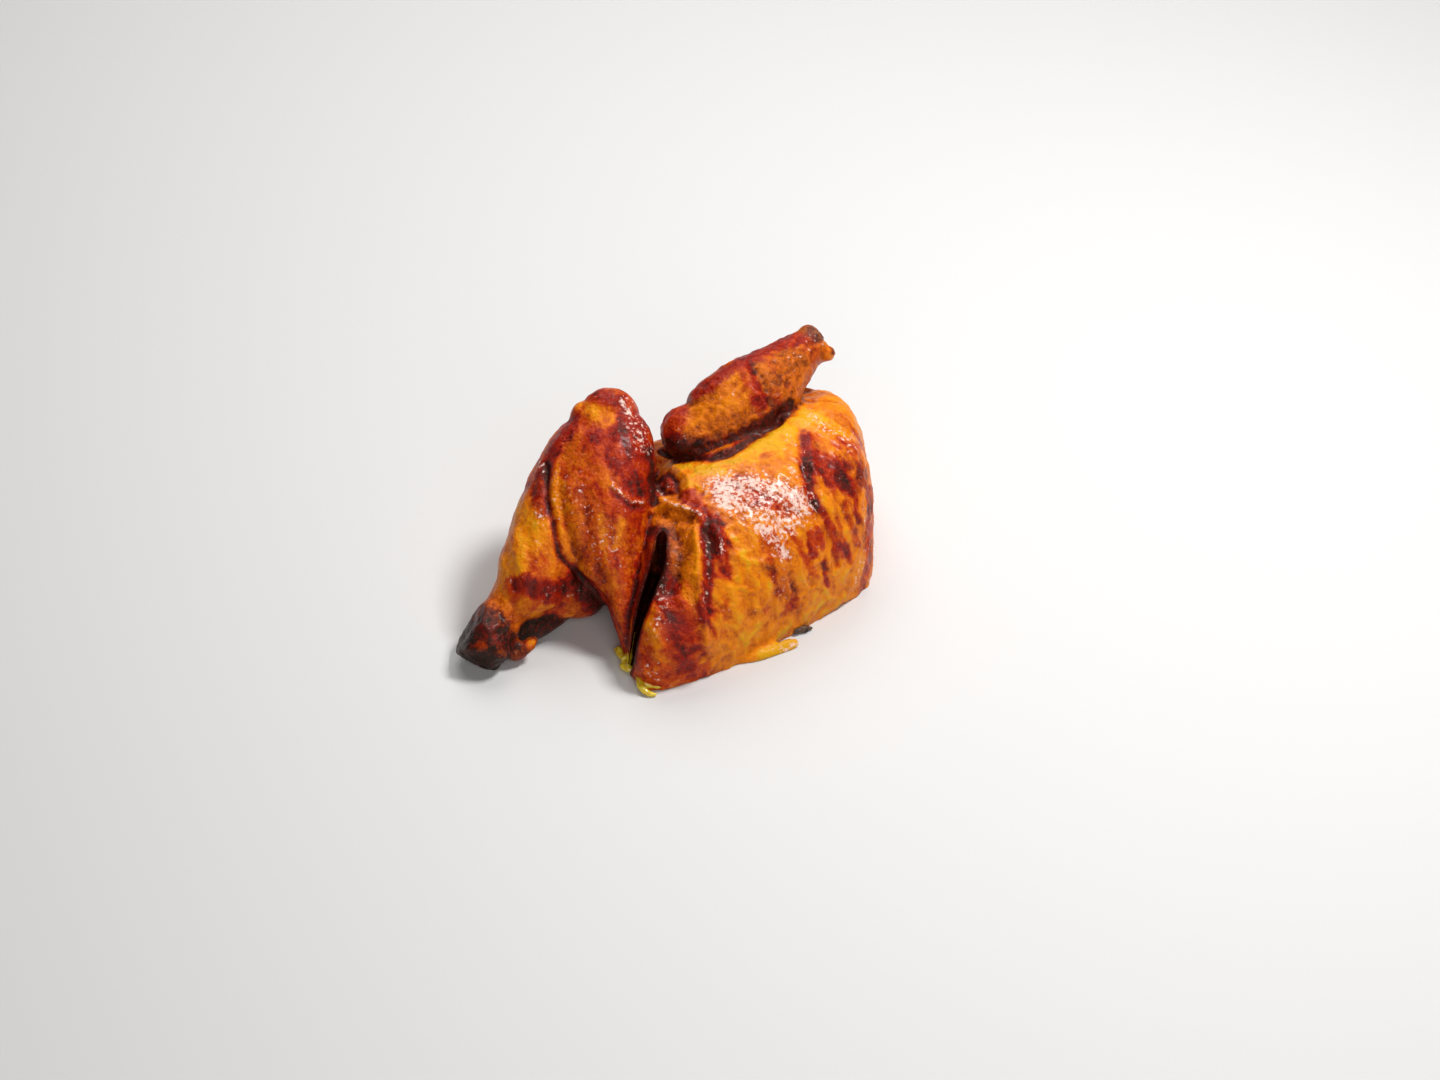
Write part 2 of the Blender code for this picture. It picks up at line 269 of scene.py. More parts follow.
# The breast's width, how far past its length the last section lies, how far it bulges towards the neck,
# how deep its underside is in skin edge heights, and how square it is on the near and the far side
BREAST_WIDTH = 100.0
BREAST_OVERRUN = 1.02
NECK_BULGE = 7.0
UNDERSIDE_DEPTH = 4.0
NEAR_SQUARENESS, FAR_SQUARENESS = 2.3, 1.9

# A thin blade that parts the thigh from the breast, as stations, and the squareness of its end caps
SLIT = (
    (0.0, -35.0, 46.0, 2.1, 16.0),
    (-1.4, -44.0, 41.0, 2.8, 30.0),
    (-6.0, -53.0, 30.5, 2.4, 31.0),
    (-10.2, -60.0, 16.5, 1.4, 16.0),
    (-12.4, -65.0, 4.5, 0.9, 9.0),
)
SLIT_CAP = 0.5

# Lines that the tables below name, as points (across, up) on the picture plane: the thigh's edge over the
# drumstick, the wing's lower edge, the shadow along it, the dimple's rim and the wettest skin of the breast
THIGH_EDGE = (
    (-72.5, 31.0),
    (-72.3, 17.0),
    (-69.6, 7.0),
    (-67.0, -6.0),
    (-59.5, -14.3),
    (-53.2, -18.8),
    (-49.2, -25.0),
    (-44.0, -37.0),
    (-41.0, -46.0),
)
WING_EDGE = (
    (-24.6, 36.8),
    (-17.5, 34.2),
    (-2.9, 33.6),
    (5.0, 36.2),
    (17.5, 44.6),
    (24.2, 48.4),
    (29.6, 57.6),
)
WING_SHADOW = ((-14.0, 35.6), (-2.9, 35.2), (6.0, 38.0), (16.5, 45.6), (23.0, 50.0), (28.0, 55.0))
DIMPLE_RIM = ((-25.8, 24.0), (-22.0, 27.8), (-17.8, 24.5), (-18.3, 20.0), (-23.5, 19.3), (-25.8, 23.0))
BREAST_GLOSS = ((-2.0, 22.0), (12.0, 23.0), (29.0, 21.0), (36.0, 13.0))

# Relief of the skin, as lines on the picture plane, which runs through the viewpoint's target: the points
# that a line runs through, its half width, and how far it lifts the skin, or presses it in if it is negative
RELIEF = (
    # The thigh's edge over the drumstick
    (THIGH_EDGE, 1.6, -1.6),
    (((-69.0, 31.0), (-68.8, 17.0), (-66.0, 6.0), (-63.5, -4.5), (-57.0, -11.0), (-50.5, -15.5)), 2.4, 0.6),
    # The hollow of the breast's flank beside the slit, the hood's lip over it, and the pleats beside it
    (((-24.0, 10.5), (-14.0, 9.5)), 2.8, -2.6),
    (((-21.0, 5.0), (-16.5, -1.0), (-17.5, -11.0), (-20.5, -20.0)), 4.6, -3.4),
    (((-28.0, 12.0), (-23.5, 14.5), (-19.5, 15.5), (-14.0, 13.8), (-8.0, 10.8), (-6.5, 5.0)), 1.2, 1.2),
    (((-10.2, 4.0), (-9.0, -6.0), (-9.3, -16.0), (-7.5, -30.0), (-6.0, -43.0)), 1.7, 1.9),
    (((-5.2, 4.0), (-3.8, -6.0), (-4.4, -18.0), (-4.0, -30.0)), 1.8, -1.0),
    (((-3.5, 11.0), (0.5, 1.0), (-0.5, -9.0)), 2.2, 1.4),
    (((0.0, -2.0), (0.8, -9.0)), 1.4, 0.9),
    (((-20.5, -6.5), (-22.5, -13.0), (-23.6, -20.0)), 1.0, 1.1),
    # The dimple above the hood, with its rim
    (((-25.8, 24.0), (-22.0, 27.6), (-18.0, 24.5), (-18.3, 20.0), (-23.5, 19.3), (-25.8, 23.0)), 1.5, -1.7),
    (((-27.0, 29.0), (-20.0, 31.0), (-13.5, 26.5), (-12.5, 20.0)), 1.4, 1.0),
    # The skin edge across the thigh, and the furrow from it to the wing's elbow
    (((-45.0, 22.5), (-36.5, 15.8), (-32.0, 15.8)), 0.9, 0.7),
    (((-45.5, 20.8), (-36.8, 14.0), (-32.0, 14.0)), 1.2, -0.8),
    (((-28.0, 25.0), (-23.0, 22.0), (-19.0, 20.0)), 2.4, -1.8),
    # Muscles of the thigh and the drumstick
    (((-56.0, 20.0), (-54.0, -2.0), (-47.0, -24.0)), 3.0, -0.9),
    (((-62.0, 22.0), (-61.0, 2.0), (-55.0, -14.0)), 3.4, 0.8),
    (((-85.0, 2.0), (-83.0, -10.0), (-80.0, -22.0)), 3.0, 0.9),
    (((-86.0, -19.0), (-76.0, -22.0), (-60.0, -22.0)), 2.4, -0.5),
    # The step where the wing narrows towards the wrist
    (((14.0, 72.0), (20.5, 60.0), (25.0, 51.0)), 2.4, -1.5),
    (((9.0, 73.0), (15.0, 60.0)), 3.5, 0.6),
    # The crease under the wing
    (WING_EDGE, 1.3, -1.6),
    # Diagonal folds of the breast skin
    (((-3.0, 4.0), (4.0, -5.0), (12.0, -9.0), (20.0, -10.0)), 1.6, 0.9),
    (((0.0, -12.0), (8.0, -20.0), (14.0, -32.0)), 2.0, -0.7),
    (((22.0, 8.0), (27.0, -4.0), (31.0, -20.0)), 1.8, -0.7),
    (((33.0, 45.0), (35.0, 30.0), (41.0, 12.0), (48.0, -10.0)), 1.6, -0.9),
    (((37.0, 44.0), (39.0, 31.0), (45.0, 14.0)), 1.8, 0.6),
)

# Colour of the skin, as lines on the same plane, each with its part, half width, how much it browns the skin
# and how much it turns gold to red. These have ragged edges. Most rows are the skin's own browning; the rows
# marked below are painted shade.
BROWNING_AND_SHADE = (
    ("breast", ((-9.5, 30.5), (2.0, 30.0), (18.0, 41.0), (33.0, 48.5)), 4.4, -0.27, -0.4),
    ("breast", ((-24.0, 32.5), (-14.0, 30.5)), 2.0, -0.14, -0.3),
    ("breast", ((-12.0, 23.0), (-8.0, 17.0)), 2.4, -0.14, -0.3),
    ("breast", ((34.0, 55.0), (40.0, 52.0)), 2.4, -0.14, -0.2),
    ("breast", ((24.0, 38.0), (30.0, 33.0)), 5.0, -0.08, -0.1),
    ("breast", ((0.0, 21.0), (14.0, 20.0), (30.0, 14.0)), 7.0, 0.20, 0.6),
    ("breast", ((20.0, 2.0), (28.0, -6.0)), 4.0, 0.14, 0.6),
    ("breast", ((35.0, 44.6), (36.7, 35.4), (36.7, 21.0), (40.4, 15.2)), 2.8, 0.34, 0.8),
    ("breast", ((40.4, 15.2), (44.2, 9.2), (47.5, 0.0), (52.0, -5.6)), 2.2, 0.30, 0.7),
    ("breast", ((35.0, 32.0), (37.0, 23.0)), 3.6, 0.14, 0.4),
    ("breast", ((40.0, 34.0), (50.0, 25.0)), 5.5, 0.28, 1.1),
    ("breast", ((50.0, 31.0), (55.0, 22.0)), 4.6, 0.32, 0.4),
    ("breast", ((58.0, 32.0), (60.0, 24.0)), 2.4, 0.30, 0.4),
    ("breast", ((56.0, 38.0), (50.0, 42.0)), 3.6, 0.18, 0.7),
    ("breast", ((32.0, 53.0), (44.0, 50.0), (54.0, 43.0)), 3.0, -0.14, -0.3),
    ("breast", ((38.5, 1.5), (39.0, -5.0)), 2.2, 0.28, 1.0),
    ("breast", ((41.0, 5.0), (42.5, -3.5)), 1.5, 0.26, 0.9),
    ("breast", ((43.5, -9.0), (44.5, -19.0)), 1.3, 0.34, 0.8),
    ("breast", ((48.0, -4.0), (49.5, -11.0)), 1.3, 0.24, 0.6),
    ("breast", ((28.0, 5.0), (34.0, -4.0), (40.0, -16.0)), 1.8, 0.12, 0.7),
    ("breast", ((56.0, 16.0), (58.0, 8.0)), 1.5, 0.22, 0.7),
    ("breast", ((52.0, 16.0), (57.0, -2.0)), 1.6, 0.24, 0.5),
    ("breast", ((49.0, 8.5), (54.0, -9.0)), 1.3, 0.24, 0.5),
    ("breast", ((4.0, 3.0), (12.0, -8.0), (23.0, -20.0)), 1.8, -0.18, -0.3),
    ("breast", ((6.0, -10.0), (10.0, -25.0), (6.0, -42.0)), 6.5, -0.06, -0.1),
    ("breast", ((6.0, -44.0), (22.0, -38.0), (42.0, -27.0), (56.0, -16.0)), 4.5, -0.08, -0.1),
    ("breast", ((23.0, -12.0), (27.0, -21.0), (32.0, -29.0)), 5.0, 0.15, 0.2),
    ("breast", ((22.0, -14.0), (24.0, -22.0)), 1.6, 0.20, 0.4),
    ("breast", ((11.0, -17.0), (14.0, -30.0)), 1.5, 0.18, 0.3),
    ("breast", ((-13.0, 18.0), (-8.0, 12.5), (-4.0, 6.0), (-1.0, -3.0)), 3.4, 0.27, 1.1),
    ("breast", ((-6.0, 4.0), (-5.0, -20.0), (-6.5, -32.0)), 3.0, 0.28, 1.0),
    ("breast", ((-2.0, 6.0), (1.0, -4.0), (1.5, -14.0)), 3.4, 0.24, 1.0),
    ("breast", ((-23.0, -24.0), (-20.0, -34.0), (-17.0, -44.0)), 8.0, 0.18, 1.3),
    ("breast", ((-33.0, -42.0), (-33.0, -54.0), (-20.0, -58.0), (-8.0, -56.0)), 4.5, 0.10, 0.7),
    ("breast", ((-18.0, -19.0), (-12.0, -25.0)), 3.0, -0.10, -0.5),
    ("breast", ((41.0, -26.0), (43.0, -22.0)), 4.0, -0.10, -0.2),
    ("breast", ((62.0, 22.0), (62.5, -8.0), (57.0, -27.0)), 1.6, 0.22, 0.5),
    ("thigh", ((-57.5, 54.5), (-50.0, 51.5), (-46.5, 50.0)), 3.6, -0.24, -0.2),
    ("thigh", ((-54.0, 60.0), (-42.0, 58.0)), 3.0, 0.22, 0.7),
    ("thigh", ((-53.0, 43.0), (-42.0, 44.0)), 3.4, 0.16, 0.8),
    ("thigh", ((-38.0, 50.0), (-33.0, 37.0), (-32.0, 24.0)), 6.5, 0.24, 0.6),
    ("thigh", ((-45.0, 36.0), (-38.0, 27.0), (-33.0, 21.0)), 4.0, 0.20, 0.9),
    # Darker along the upper left edge of the thigh and drumstick: partly browning, partly painted shade on
    # the side away from the light
    ("any", ((-62.0, 51.0), (-69.0, 38.0), (-73.5, 28.0)), 3.8, 0.34, 0.6),
    ("thigh", ((-33.0, -8.0), (-36.0, -26.0), (-38.0, -40.0)), 2.4, 0.20, 0.6),
    # Painted shade in the furrow under the skin edge across the thigh
    ("thigh", ((-44.5, 19.5), (-37.0, 12.5), (-32.0, 12.5)), 1.4, 0.14, 0.3),
    ("thigh", ((-50.0, 10.0), (-48.0, -6.0), (-43.0, -20.0)), 1.6, -0.14, -0.4),
    ("thigh", ((-41.0, 8.0), (-44.0, -4.0)), 1.4, -0.12, -0.4),
    ("thigh", ((-70.0, 28.0), (-70.0, 17.0), (-67.2, 7.0), (-64.5, -5.0), (-57.5, -12.0)), 1.7, -0.18, -0.5),
    ("drumstick", ((-80.0, 10.0), (-84.0, -12.5)), 6.0, -0.14, -0.3),
    # Darker band along the drumstick's crease and under the thigh's edge: partly browning, partly painted
    # shade
    ("drumstick", ((-82.0, -18.0), (-68.0, -21.0), (-54.0, -26.0)), 5.6, 0.42, 0.9),
    ("drumstick", ((-60.0, -14.0), (-53.0, -27.0)), 4.5, 0.26, 0.7),
    ("drumstick", ((-77.0, 22.0), (-74.0, 12.0)), 3.4, 0.26, 0.4),
    ("drumstick", ((-88.0, -17.0), (-86.0, -24.0)), 2.4, 0.16, 0.4),
    ("calf", ((-73.0, -30.0), (-62.0, -31.0)), 2.4, -0.20, -0.2),
    ("calf", ((-58.0, -24.0), (-50.0, -30.0)), 3.0, 0.16, 0.6),
    ("ankle", ((-101.0, -43.0), (-98.0, -45.0)), 2.2, -0.42, 0.2),
    ("ankle", ((-100.0, -36.0), (-92.0, -42.0)), 3.0, -0.12, 0.6),
    ("ankle", ((-92.0, -48.0), (-88.0, -50.0)), 2.2, -0.16, 0.0),
    ("hook", ((-91.0, -38.0), (-86.0, -42.0)), 2.4, -0.14, 0.3),
    ("hook", ((-79.5, -44.0), (-78.0, -43.0)), 1.6, -0.55, -0.3),
    ("wing", ((-20.0, 55.0), (-3.0, 66.0), (12.5, 77.0), (33.0, 85.5)), 3.4, 0.09, 0.9),
    ("wing", ((9.0, 74.0), (13.0, 66.0), (17.0, 58.0)), 3.6, 0.15, 1.0),
    ("wing", ((-8.5, 52.5), (8.0, 60.5)), 5.5, -0.20, -0.4),
    ("wing", ((-22.0, 44.0), (-18.0, 51.0)), 6.0, 0.00, 0.9),
    # Painted shade on the wing's underside, along its lower edge
    ("wing", ((-21.0, 40.0), (0.0, 39.0), (17.0, 48.0), (26.0, 54.0)), 3.6, 0.22, 0.4),
    ("wing", ((22.0, 61.0), (33.0, 75.0)), 5.5, 0.09, -0.05),
    ("wrist", ((38.5, 85.5), (40.0, 83.0)), 5.0, 0.26, 0.1),
    ("wrist_tip", ((44.0, 82.0), (46.0, 77.0)), 3.0, -0.10, 0.0),
)

# The same, with soft edges. Most rows are painted shade, in hollows and creases that the light hardly reaches
SHADING = (
    # Painted shade under the wing's lower edge and on the wing's underside
    ("any", WING_EDGE, 1.5, 0.62, 0.5),
    ("any", WING_SHADOW, 1.8, 0.45, 0.4),
    ("wing", ((-22.0, 38.5), (-3.0, 37.5), (8.0, 40.5), (20.0, 48.5), (27.0, 53.5)), 3.8, 0.42, 0.3),
    # Painted shade beside the slit and in the flank's hollow over it
    ("any", ((-28.5, 4.0), (-30.6, -8.0), (-33.6, -22.0), (-35.2, -36.0), (-36.0, -50.0)), 1.8, 0.34, 0.8),
    ("breast", ((-25.0, 4.0), (-22.5, 1.0), (-22.6, -9.6), (-26.0, -22.0)), 3.0, 0.30, 0.4),
    ("breast", ((-26.5, 5.0), (-21.0, 1.0), (-19.5, -8.0), (-21.5, -17.0)), 4.0, 0.24, 0.0),
    ("breast", ((-22.0, 10.5), (-14.0, 7.0), (-12.5, -4.0), (-14.0, -14.0)), 4.0, 0.20, -0.5),
    # The lobe's own red
    ("breast", ((-20.0, -22.0), (-17.0, -32.0), (-13.0, -42.0)), 7.0, 0.14, 0.9),
    # A lighter line along the fold's edge, where the light catches it: painted highlight. Below it, painted
    # shade under the hood's lip and in the groove by the pleat
    ("breast", ((-10.6, 3.0), (-9.4, -6.0), (-9.6, -15.0)), 1.2, -0.16, -0.5),
    ("breast", ((-20.0, 12.6), (-14.0, 11.4), (-9.5, 8.4)), 1.0, 0.22, 0.2),
    ("breast", ((-5.5, 4.0), (-4.0, -8.0), (-4.6, -22.0)), 1.4, 0.10, 0.5),
    # A darker spot by the hood
    ("any", ((-26.7, 16.8), (-26.3, 15.6)), 1.4, 0.55, 0.0),
    # Painted shade in the groove round the dimple
    ("any", DIMPLE_RIM, 1.0, 0.50, 0.4),
    # The dimple's own maroon middle
    ("breast", ((-22.2, 24.0), (-21.2, 23.4)), 2.8, 0.34, 1.2),
    # Painted shade in the seam between thigh and breast, in the crease along the thigh's edge and under that
    # edge
    ("any", ((-29.0, 38.0), (-28.0, 27.0), (-28.5, 16.0)), 1.6, 0.40, 0.2),
    ("any", THIGH_EDGE, 1.4, 0.22, 0.4),
    ("any", ((-62.0, -16.0), (-54.5, -22.5), (-50.5, -30.0)), 3.0, 0.34, 0.5),
    # A dark spot of the wing tip, and the ledge's own browner end
    ("wrist_tip", ((47.0, 79.5), (47.2, 78.0)), 1.1, 0.55, 0.0),
    ("ledge", ((8.0, -51.0), (14.0, -49.0)), 3.0, 0.40, 0.0),
)

# Painted sheen: a pale highlight colour laid on the skin where it shines, as lines on the same plane with a
# half width and how strong it is
PAINTED_SHEEN = (
    (((-1.0, 22.5), (12.0, 23.0), (27.0, 20.0), (35.0, 14.5)), 6.4, 0.90),
    (((3.0, 15.0), (15.0, 10.0), (29.0, 6.0)), 5.4, 0.72),
    (((17.0, 4.0), (24.0, -2.0), (27.0, -7.0)), 3.4, 0.66),
    (((22.0, -6.0), (25.5, -7.6), (28.0, -5.0)), 1.0, 0.40),
    (((38.0, 50.0), (46.0, 46.0), (54.0, 40.0)), 5.0, 0.46),
    (((28.0, 42.0), (33.0, 32.0)), 3.4, 0.34),
    (((60.5, 14.0), (60.0, -6.0), (56.0, -20.0)), 1.6, 0.40),
    (((23.0, -13.0), (32.0, -28.0)), 4.5, 0.20),
    (((-40.0, 57.0), (-34.5, 48.0), (-31.0, 38.0)), 4.6, 0.60),
    (((-45.0, 22.5), (-36.5, 15.8), (-32.0, 15.8)), 0.8, 0.75),
    (((-21.0, 15.4), (-14.2, 13.6), (-7.9, 10.8)), 0.8, 0.90),
    (((-26.0, 20.5), (-22.5, 16.5)), 0.7, 0.70),
    (((-22.0, 24.0), (-21.0, 23.0)), 1.8, 0.45),
    (((-24.5, -21.0), (-23.5, -28.0), (-27.0, -38.0)), 3.0, 0.56),
    (((-31.0, -53.0), (-26.0, -58.0)), 2.2, 0.40),
    (((0.5, -1.0), (1.0, -6.0)), 1.3, 0.70),
    (((-7.0, 2.0), (-5.5, -10.0), (-6.5, -26.0)), 1.6, 0.40),
    (((-23.0, -8.0), (-25.0, -18.0)), 0.9, 0.55),
    (((-69.0, 26.0), (-68.0, 10.0)), 2.4, 0.36),
    (((-60.0, 24.0), (-53.0, 8.0), (-46.0, -6.0)), 7.0, 0.30),
    (((-75.0, 33.0), (-73.5, 29.0)), 2.2, 0.55),
    (((-76.5, 13.0), (-74.5, 8.5)), 2.8, 0.52),
    (((-76.5, 1.0), (-76.0, -4.0)), 1.0, 0.50),
    (((-88.0, -14.0), (-86.0, -21.0)), 1.4, 0.40),
    (((-72.0, -21.0), (-62.0, -23.0)), 1.6, 0.36),
    (((39.0, 86.0), (41.5, 83.0)), 2.6, 0.46),
    (((28.0, 75.0), (37.0, 79.0)), 2.4, 0.28),
    (((-18.0, 47.0), (-16.0, 44.0)), 2.0, 0.40),
    (((0.0, 56.0), (6.0, 60.0)), 2.6, 0.24),
    # The flap's own pale cream colour at its end
    (((25.0, -45.5), (33.0, -43.0)), 2.6, 0.70),
)

# Where the skin is wettest, as lines on the same plane with a half width and how much they add to the gloss
SHINE = (
    (BREAST_GLOSS, 9.0, 0.75),
    (((8.0, 8.0), (26.0, -3.0)), 5.0, 0.60),
    (((-19.6, 15.2), (-14.2, 13.6), (-7.9, 10.8)), 1.4, 0.80),
    (((-45.0, 22.5), (-36.5, 15.8), (-32.0, 15.8)), 1.3, 0.80),
    (((0.5, -1.0), (1.0, -6.0)), 2.0, 0.80),
    (((37.0, 50.0), (54.0, 42.0)), 8.0, 0.40),
    (((-23.0, -24.0), (-22.0, -34.0)), 4.5, 0.45),
    (((-80.0, 18.0), (-82.0, 2.0)), 5.0, 0.30),
)

# Where burnt bone is grey with ash: its part, a line on the same plane, its half width and how grey it gets
ASH = (
    ("wrist", ((38.8, 86.5), (41.0, 84.0)), 4.0, 1.0),
    ("ankle", ((-105.0, -34.0), (-109.0, -44.0)), 3.0, 0.5),
)

# How brown and how red each part's skin is before the lines above, from 0 to 1
PART_TONE = {
    "breast": (0.29, 0.12),
    "thigh": (0.47, 0.62),
    "knee": (0.18, 0.20),
    "drumstick": (0.31, 0.38),
    "calf": (0.60, 0.50),
    "ankle": (1.05, 0.40),
    "hook": (0.72, 0.30),
    # The mass under the drumstick: char, a painted shadow
    "shadow_mass": (1.00, 0.00),
    "hip": (0.42, 0.15),
    "upper_wing": (0.50, 0.20),
    "wing": (0.52, 0.02),
    "wrist": (0.60, 0.15),
    "wrist_tip": (0.40, 0.05),
    "ledge": (-0.15, -0.60),
}

# Scraps of fat: tubes as stations (x, y, z, radius)
FAT_STRANDS = (
    ((-11.3, -51.5, 11.0, 0.8), (-12.4, -55.8, 7.0, 0.8), (-12.9, -58.0, 4.3, 1.0), (-13.4, -61.8, 1.8, 0.9)),
    ((-18.2, -50.6, 1.4, 1.0), (-16.9, -53.0, 2.2, 1.9), (-15.4, -56.5, 1.6, 1.3), (-15.0, -60.6, 1.5, 1.7)),
    ((-15.2, -60.6, 1.4, 1.7), (-13.4, -62.4, 1.8, 1.8), (-11.0, -63.4, 1.3, 1.0)),
    ((-12.6, -55.5, 4.0, 0.9), (-15.2, -57.6, 2.4, 1.2)),
    ((-10.6, -60.6, 2.5, 0.9), (-9.0, -66.6, 1.8, 1.4), (-8.1, -71.0, 2.6, 1.6)),
    (
        (-8.8, -69.5, 2.6, 1.5),
        (-7.9, -73.0, 2.2, 1.9),
        (-6.6, -75.6, 1.6, 1.4),
        (-4.8, -76.6, 1.2, 1.1),
        (-2.6, -76.7, 1.0, 0.7),
    ),
    ((-7.9, -72.2, 2.4, 1.7), (-5.0, -72.4, 2.4, 1.5), (-1.7, -72.4, 1.5, 1.0), (1.0, -72.2, 1.2, 0.6)),
)

# Burnt crumbs: middle (x, y, z), half length and radius
CRUMBS = (
    (55.8, -38.8, 1.6, 2.0, 1.4),
    (58.8, -37.6, 1.2, 0.9, 1.0),
)

# Lights, in metres: name, place and size, and the point that they are turned to
LIGHTS = (
    ("top_light", (-0.08, 0.66, 0.85), (0.80, 0.80)),
    ("key_light", (0.42, 0.10, 0.80), (0.20, 0.20)),
    ("front_light", (0.10, -0.95, 0.62), (0.90, 0.70)),
)
LIT_POINT = (0.0, 0.0, 0.03)


class RoastShape(bpy.types.PropertyGroup):
    """Sizes that shape the skin."""

    edge_height: bpy.props.FloatProperty(
        name="Skin edge height",
        description="How high the skin's edge stands over the surface it rests on, in millimetres",
        default=4.5,
        min=1.0,
    )
    voxel: bpy.props.FloatProperty(
        name="Skin mesh size",
        description="Size of the cells that fuse the limbs into one skin, in millimetres",
        default=0.88,
        min=0.5,
    )
    lump_height: bpy.props.FloatProperty(
        name="Lumps", description="Height of the slow unevenness of the skin, in millimetres", default=0.7
    )
    wrinkle_height: bpy.props.FloatProperty(
        name="Wrinkles", description="Height of the small folds of roasted skin, in millimetres", default=0.7
    )
    seed: bpy.props.IntProperty(name="Seed", description="Picks the random unevenness", default=4)


class RoastLook(bpy.types.PropertyGroup):
    """Colours and finish of the skin and the scraps."""

    gold: bpy.props.FloatVectorProperty(
        name="Gold", description="Skin that has hardly browned", subtype="COLOR", default=(0.76, 0.355, 0.004)
    )
    amber: bpy.props.FloatVectorProperty(
        name="Amber", description="Lightly browned skin", subtype="COLOR", default=(0.82, 0.222, 0.001)
    )
    orange: bpy.props.FloatVectorProperty(
        name="Orange", description="Browned skin", subtype="COLOR", default=(0.55, 0.108, 0.001)
    )
    russet: bpy.props.FloatVectorProperty(
        name="Russet", description="Well browned skin", subtype="COLOR", default=(0.24, 0.040, 0.001)
    )
    maroon: bpy.props.FloatVectorProperty(
        name="Maroon", description="Dark browned skin", subtype="COLOR", default=(0.082, 0.006, 0.004)
    )
    char: bpy.props.FloatVectorProperty(
        name="Char", description="Burnt skin and bone", subtype="COLOR", default=(0.018, 0.007, 0.004)
    )
    vermilion: bpy.props.FloatVectorProperty(
        name="Vermilion",
        description="Red glaze of lightly browned skin",
        subtype="COLOR",
        default=(0.54, 0.052, 0.001),
    )
    red: bpy.props.FloatVectorProperty(
        name="Red", description="Red glaze of browned skin", subtype="COLOR", default=(0.30, 0.007, 0.001)
    )
    film: bpy.props.FloatVectorProperty(
        name="Painted sheen",
        description="Pale colour painted where the skin shines: a painted highlight",
        subtype="COLOR",
        default=(0.95, 0.66, 0.56),
    )
    flesh: bpy.props.FloatVectorProperty(
        name="Flesh", description="Cooked flesh of the cut side", subtype="COLOR", default=(0.66, 0.42, 0.22)
    )
    fat: bpy.props.FloatVectorProperty(
        name="Fat", description="Yellow scraps of fat", subtype="COLOR", default=(0.88, 0.66, 0.02)
    )
    roughness: bpy.props.FloatProperty(
        name="Roughness",
        description="Roughness of the skin where it is least oily",
        default=0.40,
        min=0.0,
        max=1.0,
        subtype="FACTOR",
    )


class StudioSetup(bpy.types.PropertyGroup):
    """Floor and lights."""

    floor_size: bpy.props.FloatProperty(
        name="Floor size", description="Side of the floor", default=6.0, unit="LENGTH"
    )
    top_power: bpy.props.FloatProperty(
        name="Top light", description="Power of the broad light overhead, in watts", default=6.0
    )
    key_power: bpy.props.FloatProperty(
        name="Key light",
        description="Power of the small light that makes the highlights, in watts",
        default=6.8,
    )
    front_power: bpy.props.FloatProperty(
        name="Front light", description="Power of the light from the front, in watts", default=4.2
    )
    sky: bpy.props.FloatProperty(name="Sky", description="Brightness all round", default=0.06)


# Surfaces


def smooth_path(stations, step=1.6):
    """Rows resampled along a Catmull-Rom curve: each stretch is the cubic through its two ends whose slopes
    are half the difference of the rows on either side."""
    rows = np.array(stations, float)
    rows = np.vstack([2 * rows[0] - rows[1], rows, 2 * rows[-1] - rows[-2]])
    found = []
    for before, start, end, after in zip(rows, rows[1:], rows[2:], rows[3:]):
        count = max(2, int(np.linalg.norm(end[:3] - start[:3]) / step))
        t = np.linspace(0.0, 1.0, count, endpoint=False)[:, None]
        square = 2 * before - 5 * start + 4 * end - after
        cube = 3 * start - before - 3 * end + after
        found.append(0.5 * (2 * start + (end - before) * t + (square * t**2 + cube * t**3)))
    return np.vstack(found + [rows[-2][None]])


def limb_rings(stations, cap_length):
    """Where each ring of a limb lies: centre, side, depth direction and the two half sizes. The side is
    square to the path and to the line of sight, and the end caps are rings that shrink as a quarter circle
    does."""
    path = smooth_path(stations)
    along = np.gradient(path[:, :3], axis=0)
    along /= np.linalg.norm(along, axis=1)[:, None]
    side = np.cross(along, TOWARDS_VIEW)
    side /= np.linalg.norm(side, axis=1)[:, None]
    over = np.cross(along, side)
    caps = len(CAP_TURNS)
    picks = np.concatenate([np.zeros(caps, int), np.arange(len(path)), np.full(caps, len(path) - 1)])
    shrink = np.concatenate([np.cos(CAP_TURNS), np.ones(len(path)), np.cos(CAP_TURNS[::-1])])
    reach = np.concatenate([-np.sin(CAP_TURNS), np.zeros(len(path)), np.sin(CAP_TURNS[::-1])])
    radius = path[picks, 3:5].mean(axis=1) * cap_length
    centres = path[picks, :3] + along[picks] * (reach * radius)[:, None]
    return centres, side[picks], over[picks], path[picks, 3:5] * shrink[:, None]


def limb_surface(stations, power, cap_length, sides=64):
    """Superellipses carried along a path: each point is the centre plus the side times cos^(2/power) and the
    depth direction times sin^(2/power) of its angle, with the signs kept."""
    centres, side, over, sizes = limb_rings(stations, cap_length)
    angle = np.linspace(0.0, 2 * math.pi, sides, endpoint=False)
    cosine = np.sign(np.cos(angle)) * np.abs(np.cos(angle)) ** (2 / power)
    sine = np.sign(np.sin(angle)) * np.abs(np.sin(angle)) ** (2 / power)
    across = cosine[None, :, None] * (side * sizes[:, :1])[:, None]
    depth = sine[None, :, None] * (over * sizes[:, 1:])[:, None]
    return closed_skin(centres[:, None] + across + depth)


